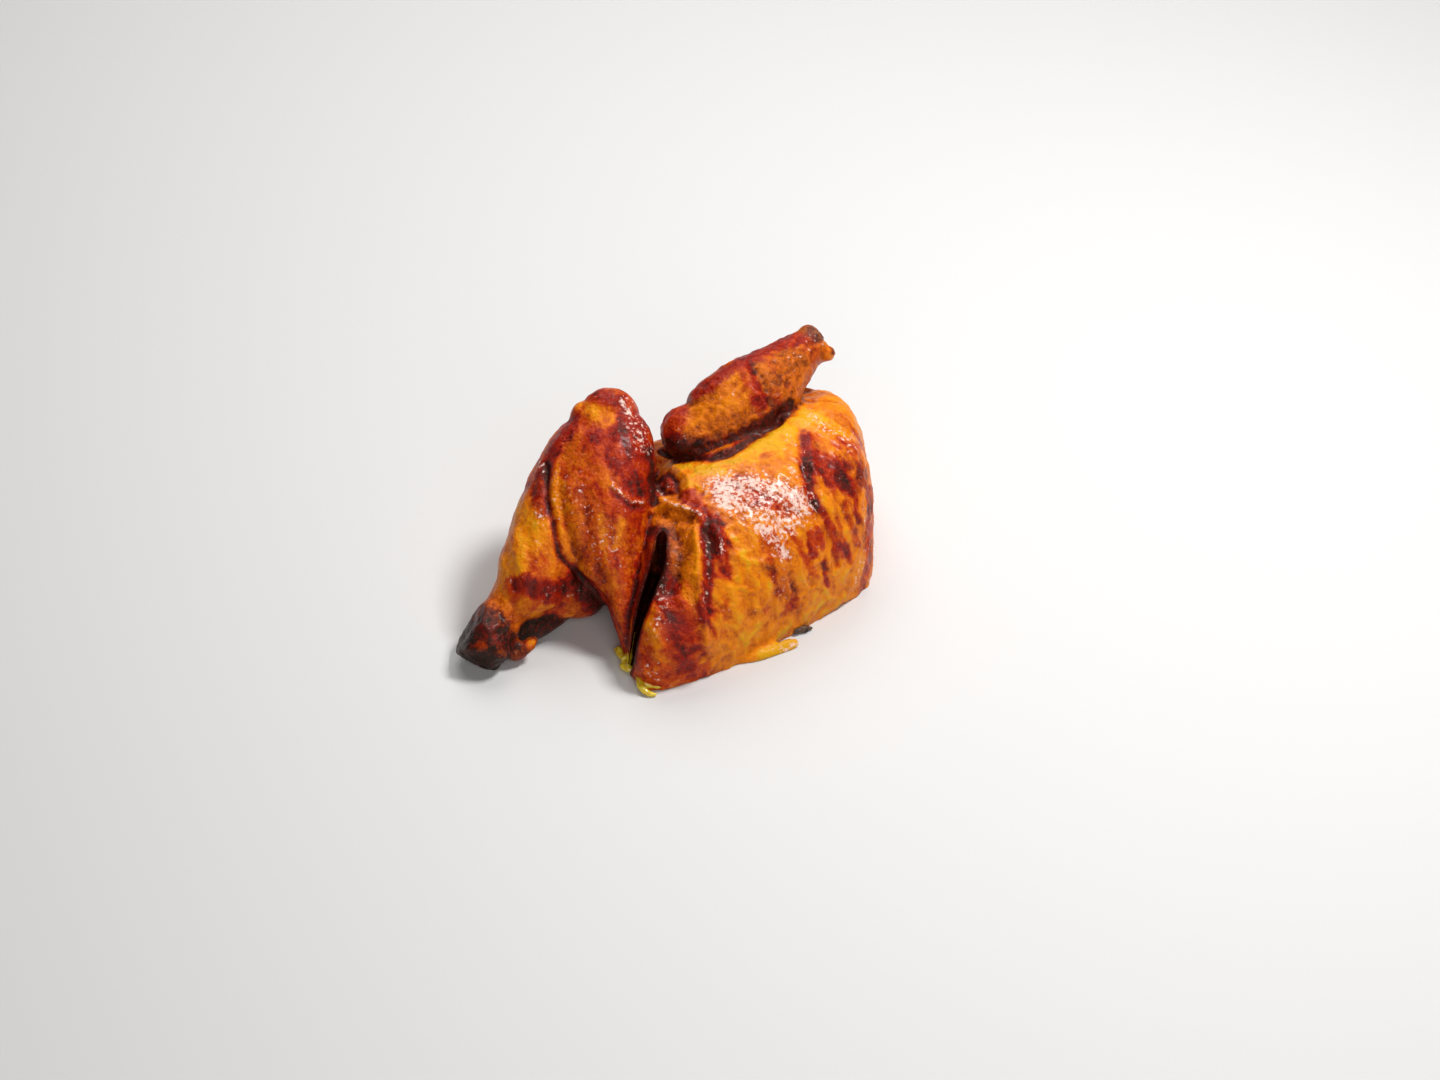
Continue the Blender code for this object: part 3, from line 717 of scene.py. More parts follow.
def breast_surface(edge_height, sides=128):
    """Lopsided superellipses along the keel: squarer on the near side and rounder on the far side, with a
    round underside, bulged towards the neck by a sine of how far along and across a point is."""
    sections = np.array(BREAST_SECTIONS)
    length = sections[:, 0].max() / BREAST_OVERRUN
    angle = np.linspace(0.0, 2 * math.pi, sides, endpoint=False)
    cosine, sine = np.cos(angle), np.sin(angle)
    near = cosine < 0
    power = np.where(near, NEAR_SQUARENESS, FAR_SQUARENESS)
    out = np.abs(cosine) ** (2 / power)
    rise = np.abs(sine) ** (2 / power)
    along, lead, edge, crest, far, height = smooth_path(sections, 2.5).T[:, :, None]
    across = crest + np.where(near, -(crest - edge) * out, (far - crest) * out)
    z = edge_height + np.where(sine >= 0, height - edge_height, -UNDERSIDE_DEPTH * edge_height) * rise
    share = np.clip(across / BREAST_WIDTH, 0.0, 1.0) * along / length
    forward = along + lead * across + NECK_BULGE * np.sin(math.pi * share)
    x = KEEL_TAIL[0] + forward * math.cos(KEEL_ANGLE) - across * math.sin(KEEL_ANGLE)
    y = KEEL_TAIL[1] + forward * math.sin(KEEL_ANGLE) + across * math.cos(KEEL_ANGLE)
    return closed_skin(np.stack([x, y, z], axis=-1))


def closed_skin(grid):
    """Points and faces of a grid of rings that closes round, with a pole in the middle of each end ring."""
    rows, sides = grid.shape[:2]
    index = np.arange(rows * sides).reshape(rows, sides)
    turned = np.roll(index, -1, axis=1)
    quads = np.stack([index[:-1], turned[:-1], turned[1:], index[1:]], axis=-1).reshape(-1, 4)
    poles = np.stack([grid[0].mean(axis=0), grid[-1].mean(axis=0)])
    first = np.stack([turned[0], index[0], np.full(sides, rows * sides)], axis=-1)
    last = np.stack([index[-1], turned[-1], np.full(sides, rows * sides + 1)], axis=-1)
    points = np.vstack([grid.reshape(-1, 3), poles])
    return points, [*quads.tolist(), *first.tolist(), *last.tolist()]


def joined(surfaces):
    """Several surfaces' points and faces as one list each."""
    points, faces, start = [], [], 0
    for some_points, some_faces in surfaces:
        points.append(some_points)
        faces += [[i + start for i in face] for face in some_faces]
        start += len(some_points)
    return np.vstack(points), faces


# Noise


def slope_noise(points, length, seed):
    """Noise from about -1 to 1: the corners of each cell of the given length hold random slopes, and their
    heights at the point are blended by the curve 6t^5 - 15t^4 + 10t^3 in each direction."""
    draw = np.random.default_rng(seed)
    order = draw.permutation(256)
    slopes = draw.normal(size=(256, 3))
    slopes /= np.linalg.norm(slopes, axis=1)[:, None]
    scaled = points / length
    cell = np.floor(scaled).astype(int)
    inside = scaled - cell
    ease = inside**3 * (inside * (inside * 6 - 15) + 10)
    total = np.zeros(len(points))
    for corner in np.ndindex(2, 2, 2):
        at = cell + corner
        pick = order[(order[(order[at[:, 0] & 255] + at[:, 1]) & 255] + at[:, 2]) & 255]
        height = ((inside - corner) * slopes[pick]).sum(axis=1)
        total += height * np.where(corner, ease, 1 - ease).prod(axis=1)
    return total * 1.6


def layered_noise(points, length, seed, layers=4, fall=0.55):
    """Slope noise at a length and at each half of it, each weaker than the last."""
    total, weight = 0.0, 0.0
    for i in range(layers):
        total = total + fall**i * slope_noise(points, length / 2**i, seed + i)
        weight += fall**i
    return total / weight


def drawn_out(points, direction, stretch):
    """Points squeezed along a direction, so that noise read at them is that much longer along it."""
    direction = np.array(direction, float) / np.linalg.norm(direction)
    return points - np.outer(points @ direction * (1 - 1 / stretch), direction)


def ridges(noise, sharpness=1.0):
    """Crests where the noise crosses zero, from 0 to 1."""
    return np.clip(1 - np.abs(noise) * 3.0, 0.0, 1.0) ** sharpness


# Places on the bird


def picture_plane(points):
    """Where points fall on the plane through the target, seen from the viewpoint: across and up."""
    away = points - VIEW_TARGET
    scale = VIEW_DISTANCE / (VIEW_DISTANCE - away @ TOWARDS_VIEW)
    return np.stack([away[:, 0] * scale, away @ UP_IN_VIEW * scale], axis=1)


def distance_to(flat, path):
    """How far each point on a plane is from a line of straight stretches."""
    path = np.array(path, float)
    best = np.full(len(flat), np.inf)
    for start, end in zip(path, path[1:]):
        run = end - start
        share = np.clip((flat - start) @ run / (run @ run), 0.0, 1.0)
        best = np.minimum(best, np.linalg.norm(flat - start - share[:, None] * run, axis=1))
    return best


def near_line(flat, path, width):
    """e^-(d/w)^2 of each point's distance d from a line of half width w."""
    return np.exp(-((distance_to(flat, path) / width) ** 2))


def blend(low, high, values):
    """0 below low, 1 above high, and 3t^2 - 2t^3 between."""
    t = np.clip((values - low) / (high - low), 0.0, 1.0)
    return t * t * (3 - 2 * t)


def ring_gap(points, rings):
    """How far each point lies outside a limb made of rings, from how far out it is on the nearest ring."""
    gap = np.full(len(points), FAR_GAP)
    for centre, sideways, upwards, size in zip(*rings):
        away = points - centre
        forward = np.cross(sideways, upwards)
        out = (np.hypot(away @ sideways / size[0], away @ upwards / size[1]) - 1) * size.min()
        gap = np.minimum(gap, np.maximum(out, np.abs(away @ forward) - RING_REACH))
    return gap


def slit_gap(points):
    """How far each point is from the wall of the slit."""
    return np.abs(ring_gap(points, limb_rings(SLIT, SLIT_CAP)))


def part_weights(points):
    """How much each point belongs to each part, from how far outside the part's rings it lies. The weights of
    a point add up to 1, and what lies on no limb is breast."""
    gaps = {"breast": np.full(len(points), BREAST_GAP)}
    for name, (stations, _power, cap_length) in LIMBS.items():
        gaps[name] = np.maximum(ring_gap(points, limb_rings(stations, cap_length)), 0.0)
    nearness = {name: np.exp(-gap / WEIGHT_FALL) for name, gap in gaps.items()}
    total = sum(nearness.values())
    return {name: near / total for name, near in nearness.items()}


# Meshes


def mesh_object(name, points, faces):
    """A mesh object at the origin from points of the drawing, moved to the frame's origin and made metres."""
    mesh = bpy.data.meshes.new(name)
    mesh.from_pydata(((points - MIDDLE) * MM).tolist(), [], faces)
    mesh.update()
    obj = bpy.data.objects.new(name, mesh)
    bpy.context.scene.collection.objects.link(obj)
    return obj


def apply_modifiers(obj):
    """Keeps what the object's modifiers make, and removes them."""
    made = bpy.data.meshes.new_from_object(obj.evaluated_get(bpy.context.evaluated_depsgraph_get()))
    old = obj.data
    obj.modifiers.clear()
    obj.data = made
    bpy.data.meshes.remove(old)


def read_mesh(obj):
    """Points in the drawing's millimetres, and normals."""
    count = len(obj.data.vertices)
    points, normals = np.empty(count * 3, np.float32), np.empty(count * 3, np.float32)
    obj.data.vertices.foreach_get("co", points)
    obj.data.vertices.foreach_get("normal", normals)
    return points.reshape(-1, 3) / MM + MIDDLE, normals.reshape(-1, 3).astype(float)


def write_points(obj, points):
    """Puts points of the drawing into the mesh."""
    obj.data.vertices.foreach_set("co", ((points - MIDDLE) * MM).astype(np.float32).ravel())
    obj.data.update()


def write_values(obj, name, values):
    """Stores one number for each point of the mesh, for the material to read."""
    attribute = obj.data.attributes.new(name, "FLOAT", "POINT")
    attribute.data.foreach_set("value", np.asarray(values, np.float32))


def roughened(obj, height, length, seed):
    """Pushes the points in and out by noise of a height and length, and keeps them in the frame's box."""
    points, normals = read_mesh(obj)
    points += normals * height * slope_noise(points, length, seed)[:, None]
    write_points(obj, inside_box(points))


def finish_piece(obj, material):
    """Gives a finished piece its material and its place among the frame's bodies."""
    obj.data.materials.clear()
    obj.data.materials.append(material)
    obj.data.shade_smooth()
    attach(obj, BODY)


def averaged(obj, points, share, rounds):
    """Points moved towards the middle of their neighbours by a share, over and over, to round sharp lips."""
    edges = np.empty(len(obj.data.edges) * 2, np.int32)
    obj.data.edges.foreach_get("vertices", edges)
    first, second = edges.reshape(-1, 2).T
    neighbours = np.bincount(edges, minlength=len(points))[:, None]
    for _round in range(rounds):
        total = np.zeros_like(points)
        np.add.at(total, first, points[second])
        np.add.at(total, second, points[first])
        points = points + share[:, None] * (total / neighbours - points)
    return points


def hollowness(obj, points, normals):
    """How far each point lies below the average of the skin around it: above 0 in creases."""
    return ((averaged(obj, points, np.full(len(points), 0.7), 14) - points) * normals).sum(axis=1)


def inside_box(points):
    """Points held within the frame's box."""
    low, high = (np.array(corner) / MM + MIDDLE for corner in CAD_BOX)
    return np.clip(points, low, high)


def cut_away(obj, cutters):
    """Takes the cutters' shapes out of the mesh, one after the other, and removes them."""
    for cutter in cutters:
        cut = obj.modifiers.new("cut", "BOOLEAN")
        cut.operation = "DIFFERENCE"
        cut.solver = "MANIFOLD"
        cut.object = cutter
        apply_modifiers(obj)
        bpy.data.objects.remove(cutter)


def flattened(points, weight):
    """Points pushed back onto each flat of the bone end, where they stand out beyond it."""
    for place, normal in BONE_FLATS:
        direction = np.array(normal) / np.linalg.norm(normal)
        beyond = np.maximum((points - np.array(place)) @ direction, 0.0)
        points = points - (blend(0.2, 0.7, weight) * beyond * 0.92)[:, None] * direction
    return points


def keep_largest_shell(obj):
    """Drops loose bits: each point takes the lowest number among its neighbours, and then that number's own
    number, until nothing changes, and the number that most points share stays."""
    mesh = obj.data
    edges = np.empty(len(mesh.edges) * 2, np.int32)
    mesh.edges.foreach_get("vertices", edges)
    edges = edges.reshape(-1, 2)
    label = np.arange(len(mesh.vertices))
    changed = True
    while changed:
        lowest = label.copy()
        np.minimum.at(lowest, edges[:, 0], label[edges[:, 1]])
        np.minimum.at(lowest, edges[:, 1], label[edges[:, 0]])
        lowest = lowest[lowest]
        changed = bool((lowest != label).any())
        label = lowest
    keep = np.bincount(label).argmax()
    work = bmesh.new()
    work.from_mesh(mesh)
    loose = [point for point in work.verts if label[point.index] != keep]
    bmesh.ops.delete(work, geom=loose, context="VERTS")
    work.to_mesh(mesh)
    work.free()


def in_picture(across, up):
    """The direction in space of a direction on the picture plane."""
    return across * np.array((1.0, 0.0, 0.0)) + up * UP_IN_VIEW


def limb_run(name):
    """The direction from a limb's first station to its last."""
    stations = np.array(LIMBS[name][0])[:, :3]
    return stations[-1] - stations[0]


def raised_lines(flat, facing):
    """The relief lines' height at each point: each line's height times how near the point is to it."""
    total = np.zeros(len(flat))
    for path, width, height in RELIEF:
        total += height * near_line(flat, path, width)
    return total * facing


def wrinkles(points, weights, seed):
    """Small folds of the skin, from about -1 to 1: drawn out along each part, rough on the wing, puckered on
    the breast and crusty on the bone end."""
    on_leg = sum(weights[name] for name in LEG_PARTS)
    on_wing = sum(weights[name] for name in WING_PARTS) + sum(weights[name] for name in WING_TIP_PARTS)
    on_bone = weights["ankle"] + weights["hook"]
    down_breast = in_picture(0.8, -0.6)
    leg_folds = slope_noise(drawn_out(points, limb_run("thigh"), 3.5), 5.0, seed + 10)
    leg_pimples = slope_noise(points, 2.6, seed + 11)
    breast_folds = slope_noise(drawn_out(points, in_picture(0.7, -0.7), 2.8), 5.5, seed + 12)
    puckers = ridges(slope_noise(drawn_out(points, down_breast, 1.8), 6.5, seed + 13), 1.5) - 0.35
    shiny = near_line(picture_plane(points), BREAST_GLOSS, 14.0)
    crinkles = shiny * (ridges(slope_noise(drawn_out(points, down_breast, 1.5), 3.4, seed + 17)) - 0.4)
    wing_cells = ridges(slope_noise(drawn_out(points, limb_run("wing"), 1.5), 5.0, seed + 14)) - 0.4
    wing_grains = slope_noise(points, 2.6, seed + 15)
    bone_crust = layered_noise(points, 7.0, seed + 16, layers=3)
    total = weights["breast"] * (0.70 * breast_folds + 0.75 * puckers + 0.55 * crinkles)
    total += on_leg * (0.8 * leg_folds + 0.35 * leg_pimples)
    total += on_wing * (0.7 * wing_cells + 0.5 * wing_grains)
    return total + on_bone * 2.2 * bone_crust


def skin_relief(points, normals, weights, shape):
    """How far each point moves along its normal, in millimetres: slow lumps, wrinkles, and the relief lines
    on what faces the viewpoint."""
    facing = np.clip(normals @ TOWARDS_VIEW + 0.3, 0.0, 1.0)
    lumps = slope_noise(points, 21.0, shape.seed) + 0.4 * slope_noise(points, 10.0, shape.seed + 1)
    fine = shape.wrinkle_height * wrinkles(points, weights, shape.seed)
    return shape.lump_height * lumps + fine + raised_lines(picture_plane(points), facing)


def painted_tones(points, normals, weights, seed):
    """How brown and how red the skin is at each point: its parts' tones, plus each line's tone times how
    near the point is to it on the picture plane, where the part faces the viewpoint. Most SHADING lines and
    some ragged lines are painted shade, and one SHADING line a painted highlight. For the ragged lines the
    plane is pushed about by noise first, less where the line is thin."""
    facing = blend(-0.35, 0.15, normals @ TOWARDS_VIEW)
    push = np.stack([layered_noise(points, 9.0, seed + i, 3) for i in (20, 24)], axis=1)
    fine = np.stack([slope_noise(points, 3.6, seed + i) for i in (62, 63)], axis=1)
    flat = picture_plane(points)
    ragged = layered_noise(points, 4.5, seed + 28, 3, 0.7)
    brown = sum(weights[name] * tone[0] for name, tone in PART_TONE.items())
    red = sum(weights[name] * tone[1] for name, tone in PART_TONE.items())
    marks = []
    for name, path, width, more_brown, more_red in BROWNING_AND_SHADE:
        pushed = flat + min(1.0, width / 5.0) * 4.0 * push + 0.8 * fine
        mark = near_line(pushed, path, width)
        mark = 0.5 * mark + 0.5 * blend(0.25, 0.70, mark + 0.45 * ragged)
        marks.append((name, mark, more_brown, more_red))
    for name, path, width, more_brown, more_red in SHADING:
        marks.append((name, near_line(flat, path, width), more_brown, more_red))
    for name, mark, more_brown, more_red in marks:
        share = facing * mark * (1.0 if name == "any" else weights[name])
        brown += more_brown * share
        red += more_red * share
    return brown, red


def mottling(points, weights, seed):
    """Uneven browned tone: clouds of two sizes, and patches drawn out along each part, crisp but on the wing.
    """
    clouds = 0.12 * layered_noise(points, 26.0, seed + 30) + 0.12 * layered_noise(points, 8.0, seed + 34)
    leg = layered_noise(drawn_out(points, limb_run("thigh"), 2.6), 5.0, seed + 38, 3, 0.75)
    leg = blend(-0.05, 0.30, leg) - 0.35
    breast = layered_noise(drawn_out(points, in_picture(0.55, -0.83), 3.0), 5.5, seed + 42, 3, 0.75)
    breast = blend(0.0, 0.30, breast) - 0.35
    wing = layered_noise(drawn_out(points, limb_run("wing"), 3.0), 3.0, seed + 46, 2, 0.8)
    on_leg = sum(weights[name] for name in LEG_PARTS)
    on_wing = sum(weights[name] for name in WING_PARTS)
    return clouds + 0.20 * on_leg * leg + 0.20 * weights["breast"] * breast + 0.18 * on_wing * wing


# Materials


class Shade:
    """One socket of a material, which takes part in sums: an expression adds its Math nodes."""

    def __init__(self, paint, socket):
        self.paint = paint
        self.socket = socket

    def sum(self, operation, first, second):
        return self.paint.node("ShaderNodeMath", {"operation": operation}, {0: first, 1: second})

    def __add__(self, other):
        return self.sum("ADD", self, other)

    def __radd__(self, other):
        return self.sum("ADD", other, self)

    def __sub__(self, other):
        return self.sum("SUBTRACT", self, other)

    def __rsub__(self, other):
        return self.sum("SUBTRACT", other, self)

    def __mul__(self, other):
        return self.sum("MULTIPLY", self, other)

    def __rmul__(self, other):
        return self.sum("MULTIPLY", other, self)


class Paint:
    """Builds one material's nodes."""

    def __init__(self, name):
        self.material = bpy.data.materials.new(name)
        self.material.use_nodes = True
        self.tree = self.material.node_tree
        self.tree.nodes.clear()

    def node(self, kind, settings=None, sockets=None, outlet=0):
        """Adds a node: its settings first, with a ramp's stops, and then what its sockets hold or are fed."""
        node = self.tree.nodes.new(kind)
        for name, value in (settings or {}).items():
            if name == "stops":
                self.set_stops(node.color_ramp, value)
            else:
                setattr(node, name, value)
        for name, value in (sockets or {}).items():
            if isinstance(value, Shade):
                self.tree.links.new(value.socket, node.inputs[name])
            else:
                node.inputs[name].default_value = value
        return Shade(self, node.outputs[outlet]) if node.outputs else None

    def set_stops(self, ramp, stops):
        while len(ramp.elements) < len(stops):
            ramp.elements.new(1.0)
        for element, (position, colour) in zip(ramp.elements, stops):
            element.position = position
            element.color = (*colour[:3], 1.0)

    def place(self):
        return self.node("ShaderNodeTexCoord", outlet="Object")

    def value(self, name):
        return self.node("ShaderNodeAttribute", {"attribute_name": name}, outlet="Fac")

    def noise(self, where, scale, detail=2.0, roughness=0.5, distortion=0.0):
        sockets = {"Vector": where, "Scale": scale, "Detail": detail, "Roughness": roughness}
        return self.node("ShaderNodeTexNoise", sockets=sockets | {"Distortion": distortion})

    def cells(self, where, scale):
        return self.node("ShaderNodeTexVoronoi", {"feature": "SMOOTH_F1"}, {"Vector": where, "Scale": scale})

    def ramp(self, factor, stops):
        return self.node("ShaderNodeValToRGB", {"stops": stops}, {"Fac": factor})

    def mask(self, value, low, high):
        """0 below low, 1 above high, smooth between."""
        sockets = {"Value": value, "From Min": low, "From Max": high}
        return self.node("ShaderNodeMapRange", {"interpolation_type": "SMOOTHSTEP"}, sockets)

    def mix(self, share, first, second):
        """Colours mixed by a share."""
        sockets = {0: share, 6: colour4(first), 7: colour4(second)}
        return self.node("ShaderNodeMix", {"data_type": "RGBA"}, sockets, outlet=2)

    def finish(self, sockets):
        surface = self.node("ShaderNodeBsdfPrincipled", sockets=sockets)
        self.node("ShaderNodeOutputMaterial", sockets={"Surface": surface})
        return self.material


def colour4(colour):
    """A colour with its alpha, or a link as it is."""
    return colour if isinstance(colour, Shade) else (*colour[:3], 1.0)


def roast_skin_material(look):
    """Oily roasted skin: a ramp from gold to char by how brown each point is, painted shade included, broken
    up by fine mottling and glazed red, with specks of a pale painted sheen, a painted highlight, flesh on the
    underside, grey ash on burnt bone, and a rough, pitted surface under a thin coat."""
    paint = Paint("roast_skin")
    place = paint.place()
    brown, red = paint.value("browning"), paint.value("redness")
    flesh, gloss, ash = paint.value("flesh"), paint.value("gloss"), paint.value("ash")
    film = paint.value("film")
    mottle = paint.noise(place, 420.0, 4.0, 0.66, 0.8)
    grain = paint.noise(place, 1000.0, 3.0, 0.65)
    pits = paint.cells(place, 620.0)
    tone = brown + ((mottle - 0.5) * 0.62 + (grain - 0.5) * 0.42) * (brown * 1.2 + 0.25)
    warm = (
        (0.02, look.gold),
        (0.21, look.amber),
        (0.46, look.orange),
        (0.66, look.russet),
        (0.83, look.maroon),
        (0.98, look.char),
    )
    glazed = (
        (0.12, look.amber),
        (0.34, look.vermilion),
        (0.56, look.red),
        (0.82, look.maroon),
        (1.00, look.char),
    )
    glaze = paint.mask(red + (mottle - 0.5) * 0.6, 0.10, 0.90)
    skin = paint.mix(glaze, paint.ramp(tone, warm), paint.ramp(tone, glazed))
    # Painted highlight: pale specks where the painted sheen is strong
    speckle = paint.noise(place, 600.0, 2.0, 0.6, 0.2)
    pale = paint.mask(film + (speckle - 0.5) * 2.8, 0.55, 1.15)
    skin = paint.mix(pale * 0.92, skin, look.film)
    fibre = paint.noise(place, 260.0, 4.0, 0.7, 1.2)
    brown_meat, grey_soot = (0.42, 0.20, 0.075), (0.085, 0.070, 0.062)
    meat = paint.mix(paint.mask(fibre, 0.35, 0.7), look.flesh, brown_meat)
    colour = paint.mix(flesh, skin, meat)
    soot = paint.mix(paint.mask(grain, 0.35, 0.75), look.char, grey_soot)
    colour = paint.mix(ash, colour, soot)
    height = mottle * 0.60 + grain * 0.50 + pits * 0.45
    bump = paint.node("ShaderNodeBump", sockets={"Strength": 1.0, "Distance": 0.0008, "Height": height})
    rough = look.roughness + (grain - 0.5) * 0.20 - gloss * 0.22
    sockets = {
        "Base Color": colour,
        "Roughness": rough,
        "Normal": bump,
        "Coat Weight": gloss * 0.40,
        "Coat Roughness": 0.17,
        "Specular IOR Level": 0.18,
        "Specular Tint": (1.0, 0.80, 0.66, 1.0),
    }
    return paint.finish(sockets)


def fat_material(look):
    """Soft yellow fat with paler, nearly white streaks and a wet shine."""
    paint = Paint("yellow_fat")
    place = paint.place()
    streaks = paint.noise(place, 380.0, 3.0, 0.6, 0.8)
    deep_yellow, cream = (0.66, 0.36, 0.004), (0.80, 0.72, 0.42)
    colour = paint.mix(paint.mask(streaks, 0.35, 0.6), deep_yellow, look.fat)
    colour = paint.mix(paint.mask(streaks, 0.58, 0.75), colour, cream)
    bump = paint.node("ShaderNodeBump", sockets={"Strength": 0.4, "Distance": 0.0004, "Height": streaks})
    return paint.finish({"Base Color": colour, "Roughness": 0.3, "Normal": bump, "Coat Weight": 0.5})


def crumb_material(look):
    """Burnt scraps, brown to nearly black."""
    paint = Paint("burnt_crumb")
    grain = paint.noise(paint.place(), 900.0, 4.0, 0.65)
    burnt_brown = (0.16, 0.075, 0.035)
    colour = paint.mix(paint.mask(grain, 0.4, 0.65), look.char, burnt_brown)
    bump = paint.node("ShaderNodeBump", sockets={"Strength": 0.7, "Distance": 0.0005, "Height": grain})
    return paint.finish({"Base Color": colour, "Roughness": 0.6, "Normal": bump})


# Operators


class ROAST_OT_skin(bpy.types.Operator):
    """Fuses the limbs and the breast into one skin, wrinkles it, cuts the slit, browns it and paints shade
    and a highlight sheen on it
    """

    bl_idname = "roast.skin"
    bl_label = "Skin"

    def execute(self, context):
        shape = context.scene.roast_shape
        limbs = [limb_surface(stations, power, cap) for stations, power, cap in LIMBS.values()]
        skin = mesh_object("half_chicken_skin", *joined([*limbs, breast_surface(shape.edge_height)]))
        fuse = skin.modifiers.new("fuse", "REMESH")
        fuse.mode = "VOXEL"
        fuse.voxel_size = shape.voxel * MM
        soften = skin.modifiers.new("soften", "SMOOTH")
        soften.iterations = 7
        apply_modifiers(skin)
        points, normals = read_mesh(skin)
        weights = part_weights(points)
        points = flattened(points, weights["ankle"])
        points += normals * skin_relief(points, normals, weights, shape)[:, None]
        write_points(skin, points)
        blade = limb_surface(SLIT, 2.0, SLIT_CAP, 48)
        cut_away(skin, [mesh_object("cutter", *surface) for surface in (blade, floor_slab())])
        keep_largest_shell(skin)
        inside = self.round_lips(skin, shape.seed)
        points, normals = read_mesh(skin)
        weights = part_weights(points)
        self.brown(skin, points, normals, weights, inside, shape.seed)
        self.shine(skin, points, normals, weights, inside, shape.seed)
        finish_piece(skin, roast_skin_material(context.scene.roast_look))
        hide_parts(NODE)
        return {"FINISHED"}

    def round_lips(self, skin, seed):
        """Rounds the lips of the cut and roughens its walls. Returns how much each point is on a wall."""
        points, normals = read_mesh(skin)
        gap = slit_gap(points)
        inside = blend(1.2, 0.3, gap)
        share = 0.5 * blend(3.0, 1.2, gap) * blend(0.0, 1.0, points[:, 2])
        points = averaged(skin, points, share, 6)
        points += normals * (inside * 0.4 * slope_noise(points, 5.0, seed + 60))[:, None]
        write_points(skin, inside_box(points))
        return inside

    def brown(self, skin, points, normals, weights, inside, seed):
        """Stores how brown and how red each point is, with painted shade: darker in creases, in the valleys
        of the wrinkles and on the cut's walls.
        """
        brown, red = painted_tones(points, normals, weights, seed)
        # Painted shade: darker in creases, by how far the skin lies below the skin around it
        brown += 0.42 * np.clip(hollowness(skin, points, normals), -0.06, 0.7)
        # Mottling is the skin's own uneven browning. The cut's walls are darker, and the wrinkles' valleys
        # darker than their crests: both painted shade
        brown += mottling(points, weights, seed) + 0.4 * inside - 0.09 * wrinkles(points, weights, seed)
        streaked = drawn_out(points, in_picture(0.5, -0.85), 2.5)
        red += 0.5 * blend(0.0, 0.35, layered_noise(streaked, 9.0, seed + 50, 3))
        # Parts that may go as dark as char: the burnt ends and the painted shadow mass under the drumstick
        burnt = sum(weights[name] for name in CHAR_COLOURED_PARTS)
        write_values(skin, "browning", np.clip(brown, 0.0, 0.87 + 0.2 * burnt))
        write_values(skin, "redness", np.clip(red, 0.0, 1.2))

    def shine(self, skin, points, normals, weights, inside, seed):
        """Stores where flesh shows underneath, how oily each point is, and where painted sheen and ash lie on
        it.
        """
        flat = picture_plane(points)
        flesh = blend(0.75, 0.97, -normals[:, 2]) * blend(2.5, 0.6, points[:, 2])
        gloss = 0.14 + 0.16 * layered_noise(points, 8.0, seed + 58, 3) - 0.2 * flesh - 0.4 * inside
        for path, width, shine in SHINE:
            gloss += shine * near_line(flat, path, width)
        # Painted highlight: a thin sheen all over and a strong one along the lines, only on faces towards the
        # viewpoint and not on the cut's walls
        film = 0.06 + 0.12 * layered_noise(points, 12.0, seed + 66, 2)
        for path, width, sheen_strength in PAINTED_SHEEN:
            film += sheen_strength * near_line(flat, path, width)
        film *= blend(-0.2, 0.3, normals @ TOWARDS_VIEW) * (1 - inside)
        ash = sum(grey * weights[name] * near_line(flat, path, width) for name, path, width, grey in ASH)
        crust = layered_noise(points, 6.0, seed + 54, 3)
        write_values(skin, "flesh", flesh)
        write_values(skin, "gloss", np.clip(gloss, 0.0, 1.0))
        write_values(skin, "film", np.clip(film, 0.0, 1.2))
        write_values(skin, "ash", np.clip(ash * (0.9 + 0.6 * crust), 0.0, 1.0))


class ROAST_OT_fat(bpy.types.Operator):
    """Hangs yellow strands of fat from the tips of the thigh and the breast"""

    bl_idname = "roast.fat"
    bl_label = "Fat strands"

    def execute(self, context):
        strands = []
        for stations in FAT_STRANDS:
            rows = np.array(stations)
            strands.append(limb_surface(np.column_stack([rows, rows[:, 3]]), 2.0, 0.9, 20))
        fat = mesh_object("fat_strands", *joined(strands))
        roughened(fat, 0.5, 2.2, 71)
        finish_piece(fat, fat_material(context.scene.roast_look))
        return {"FINISHED"}


class ROAST_OT_crumbs(bpy.types.Operator):
    """Drops burnt crumbs at the edge of the breast"""

    bl_idname = "roast.crumbs"
    bl_label = "Crumbs"

    def execute(self, context):
        lumps = []
        for x, y, z, long, thick in CRUMBS:
            start = (x - long, y - 0.3 * long, z, thick, thick)
            end = (x + long, y + 0.3 * long, z, thick, thick)
            lumps.append(limb_surface((start, end), 2.0, 1.0, 24))
        crumbs = mesh_object("burnt_crumbs", *joined(lumps))
        roughened(crumbs, 0.6, 1.6, 81)
        finish_piece(crumbs, crumb_material(context.scene.roast_look))
        return {"FINISHED"}


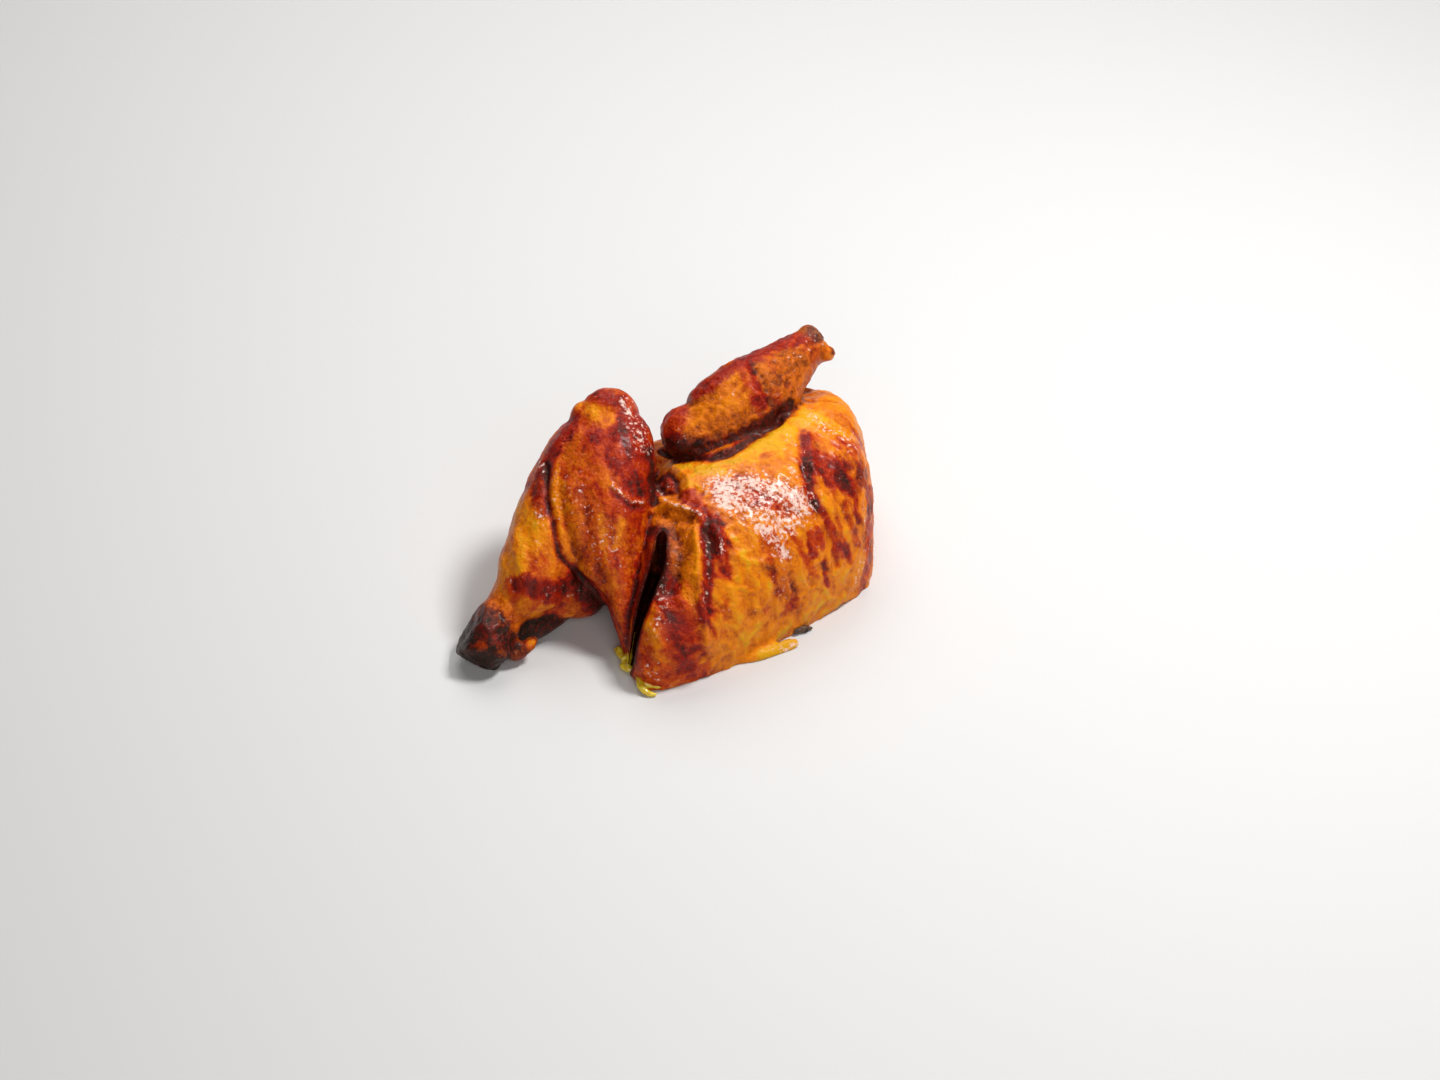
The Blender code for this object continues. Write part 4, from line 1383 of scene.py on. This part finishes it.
class ROAST_OT_studio(bpy.types.Operator):
    """Lays a pale floor, hangs soft lights and sets the camera at the picture's angle"""

    bl_idname = "roast.studio"
    bl_label = "Studio"

    def execute(self, context):
        studio, scene = context.scene.roast_studio, context.scene
        half = studio.floor_size / 2
        corners = [(-half, -half, 0), (half, -half, 0), (half, half, 0), (-half, half, 0)]
        mesh = bpy.data.meshes.new("studio_floor")
        mesh.from_pydata(corners, [], [(0, 1, 2, 3)])
        floor = bpy.data.objects.new("studio_floor", mesh)
        scene.collection.objects.link(floor)
        off_white = (0.70, 0.69, 0.68, 1.0)
        mesh.materials.append(Paint("pale_floor").finish({"Base Color": off_white, "Roughness": 0.7}))
        powers = (studio.top_power, studio.key_power, studio.front_power)
        for (name, place, size), power in zip(LIGHTS, powers):
            self.light(scene, name, place, size, power)
        world = bpy.data.worlds.new("studio_air")
        world.use_nodes = True
        air = world.node_tree.nodes["Background"]
        air.inputs["Color"].default_value = (1.0, 1.0, 1.0, 1.0)
        air.inputs["Strength"].default_value = studio.sky
        scene.world = world
        target = Vector((VIEW_TARGET - MIDDLE) * MM)
        lens = bpy.data.cameras.new("picture_camera")
        lens.sensor_width = SENSOR
        lens.lens = PIXELS_PER_MM * VIEW_DISTANCE * SENSOR / IMAGE_SIZE[0]
        lens.clip_start = 0.05
        camera = bpy.data.objects.new("picture_camera", lens)
        scene.collection.objects.link(camera)
        aim(camera, target + Vector(TOWARDS_VIEW) * VIEW_DISTANCE * MM, target)
        scene.camera = camera
        scene.view_settings.view_transform = "Standard"
        return {"FINISHED"}

    def light(self, scene, name, place, size, power):
        """A soft rectangle of light aimed at the food."""
        lamp = bpy.data.lights.new(name, "AREA")
        lamp.shape = "RECTANGLE"
        lamp.size, lamp.size_y = size
        lamp.energy = power
        light = bpy.data.objects.new(name, lamp)
        scene.collection.objects.link(light)
        aim(light, Vector(place), Vector(LIT_POINT))


def aim(obj, place, target):
    """Stands a camera or light at a place and turns it to a target."""
    obj.location = place
    obj.rotation_euler = (target - place).to_track_quat("-Z", "Y").to_euler()


def floor_slab():
    """A block whose top is the surface that the food lies on."""
    corners = np.array([(x, y, z) for z in (-60.0, 0.0) for y in (-150.0, 150.0) for x in (-150.0, 150.0)])
    faces = [(0, 2, 3, 1), (4, 5, 7, 6), (0, 1, 5, 4), (1, 3, 7, 5), (3, 2, 6, 7), (2, 0, 4, 6)]
    return corners, faces


class ROAST_PT_panel(bpy.types.Panel):
    """Lists the pieces and their settings"""

    bl_idname = "ROAST_PT_panel"
    bl_label = "Half roast chicken"
    bl_space_type = "VIEW_3D"
    bl_region_type = "UI"
    bl_category = "Roast"

    def draw(self, context):
        for settings in (context.scene.roast_shape, context.scene.roast_look, context.scene.roast_studio):
            for name in settings.__annotations__:
                self.layout.prop(settings, name)
        for operator in OPERATORS:
            self.layout.operator(operator.bl_idname)


OPERATORS = (ROAST_OT_skin, ROAST_OT_fat, ROAST_OT_crumbs, ROAST_OT_studio)
CLASSES = (RoastShape, RoastLook, StudioSetup, *OPERATORS, ROAST_PT_panel)


def register():
    for some_class in CLASSES:
        bpy.utils.register_class(some_class)
    bpy.types.Scene.roast_shape = bpy.props.PointerProperty(type=RoastShape)
    bpy.types.Scene.roast_look = bpy.props.PointerProperty(type=RoastLook)
    bpy.types.Scene.roast_studio = bpy.props.PointerProperty(type=StudioSetup)


def unregister():
    del bpy.types.Scene.roast_shape
    del bpy.types.Scene.roast_look
    del bpy.types.Scene.roast_studio
    for some_class in reversed(CLASSES):
        bpy.utils.unregister_class(some_class)


def main():
    register()
    bpy.ops.roast.skin()
    bpy.ops.roast.fat()
    bpy.ops.roast.crumbs()
    bpy.ops.roast.studio()


if __name__ == "__main__":
    main()
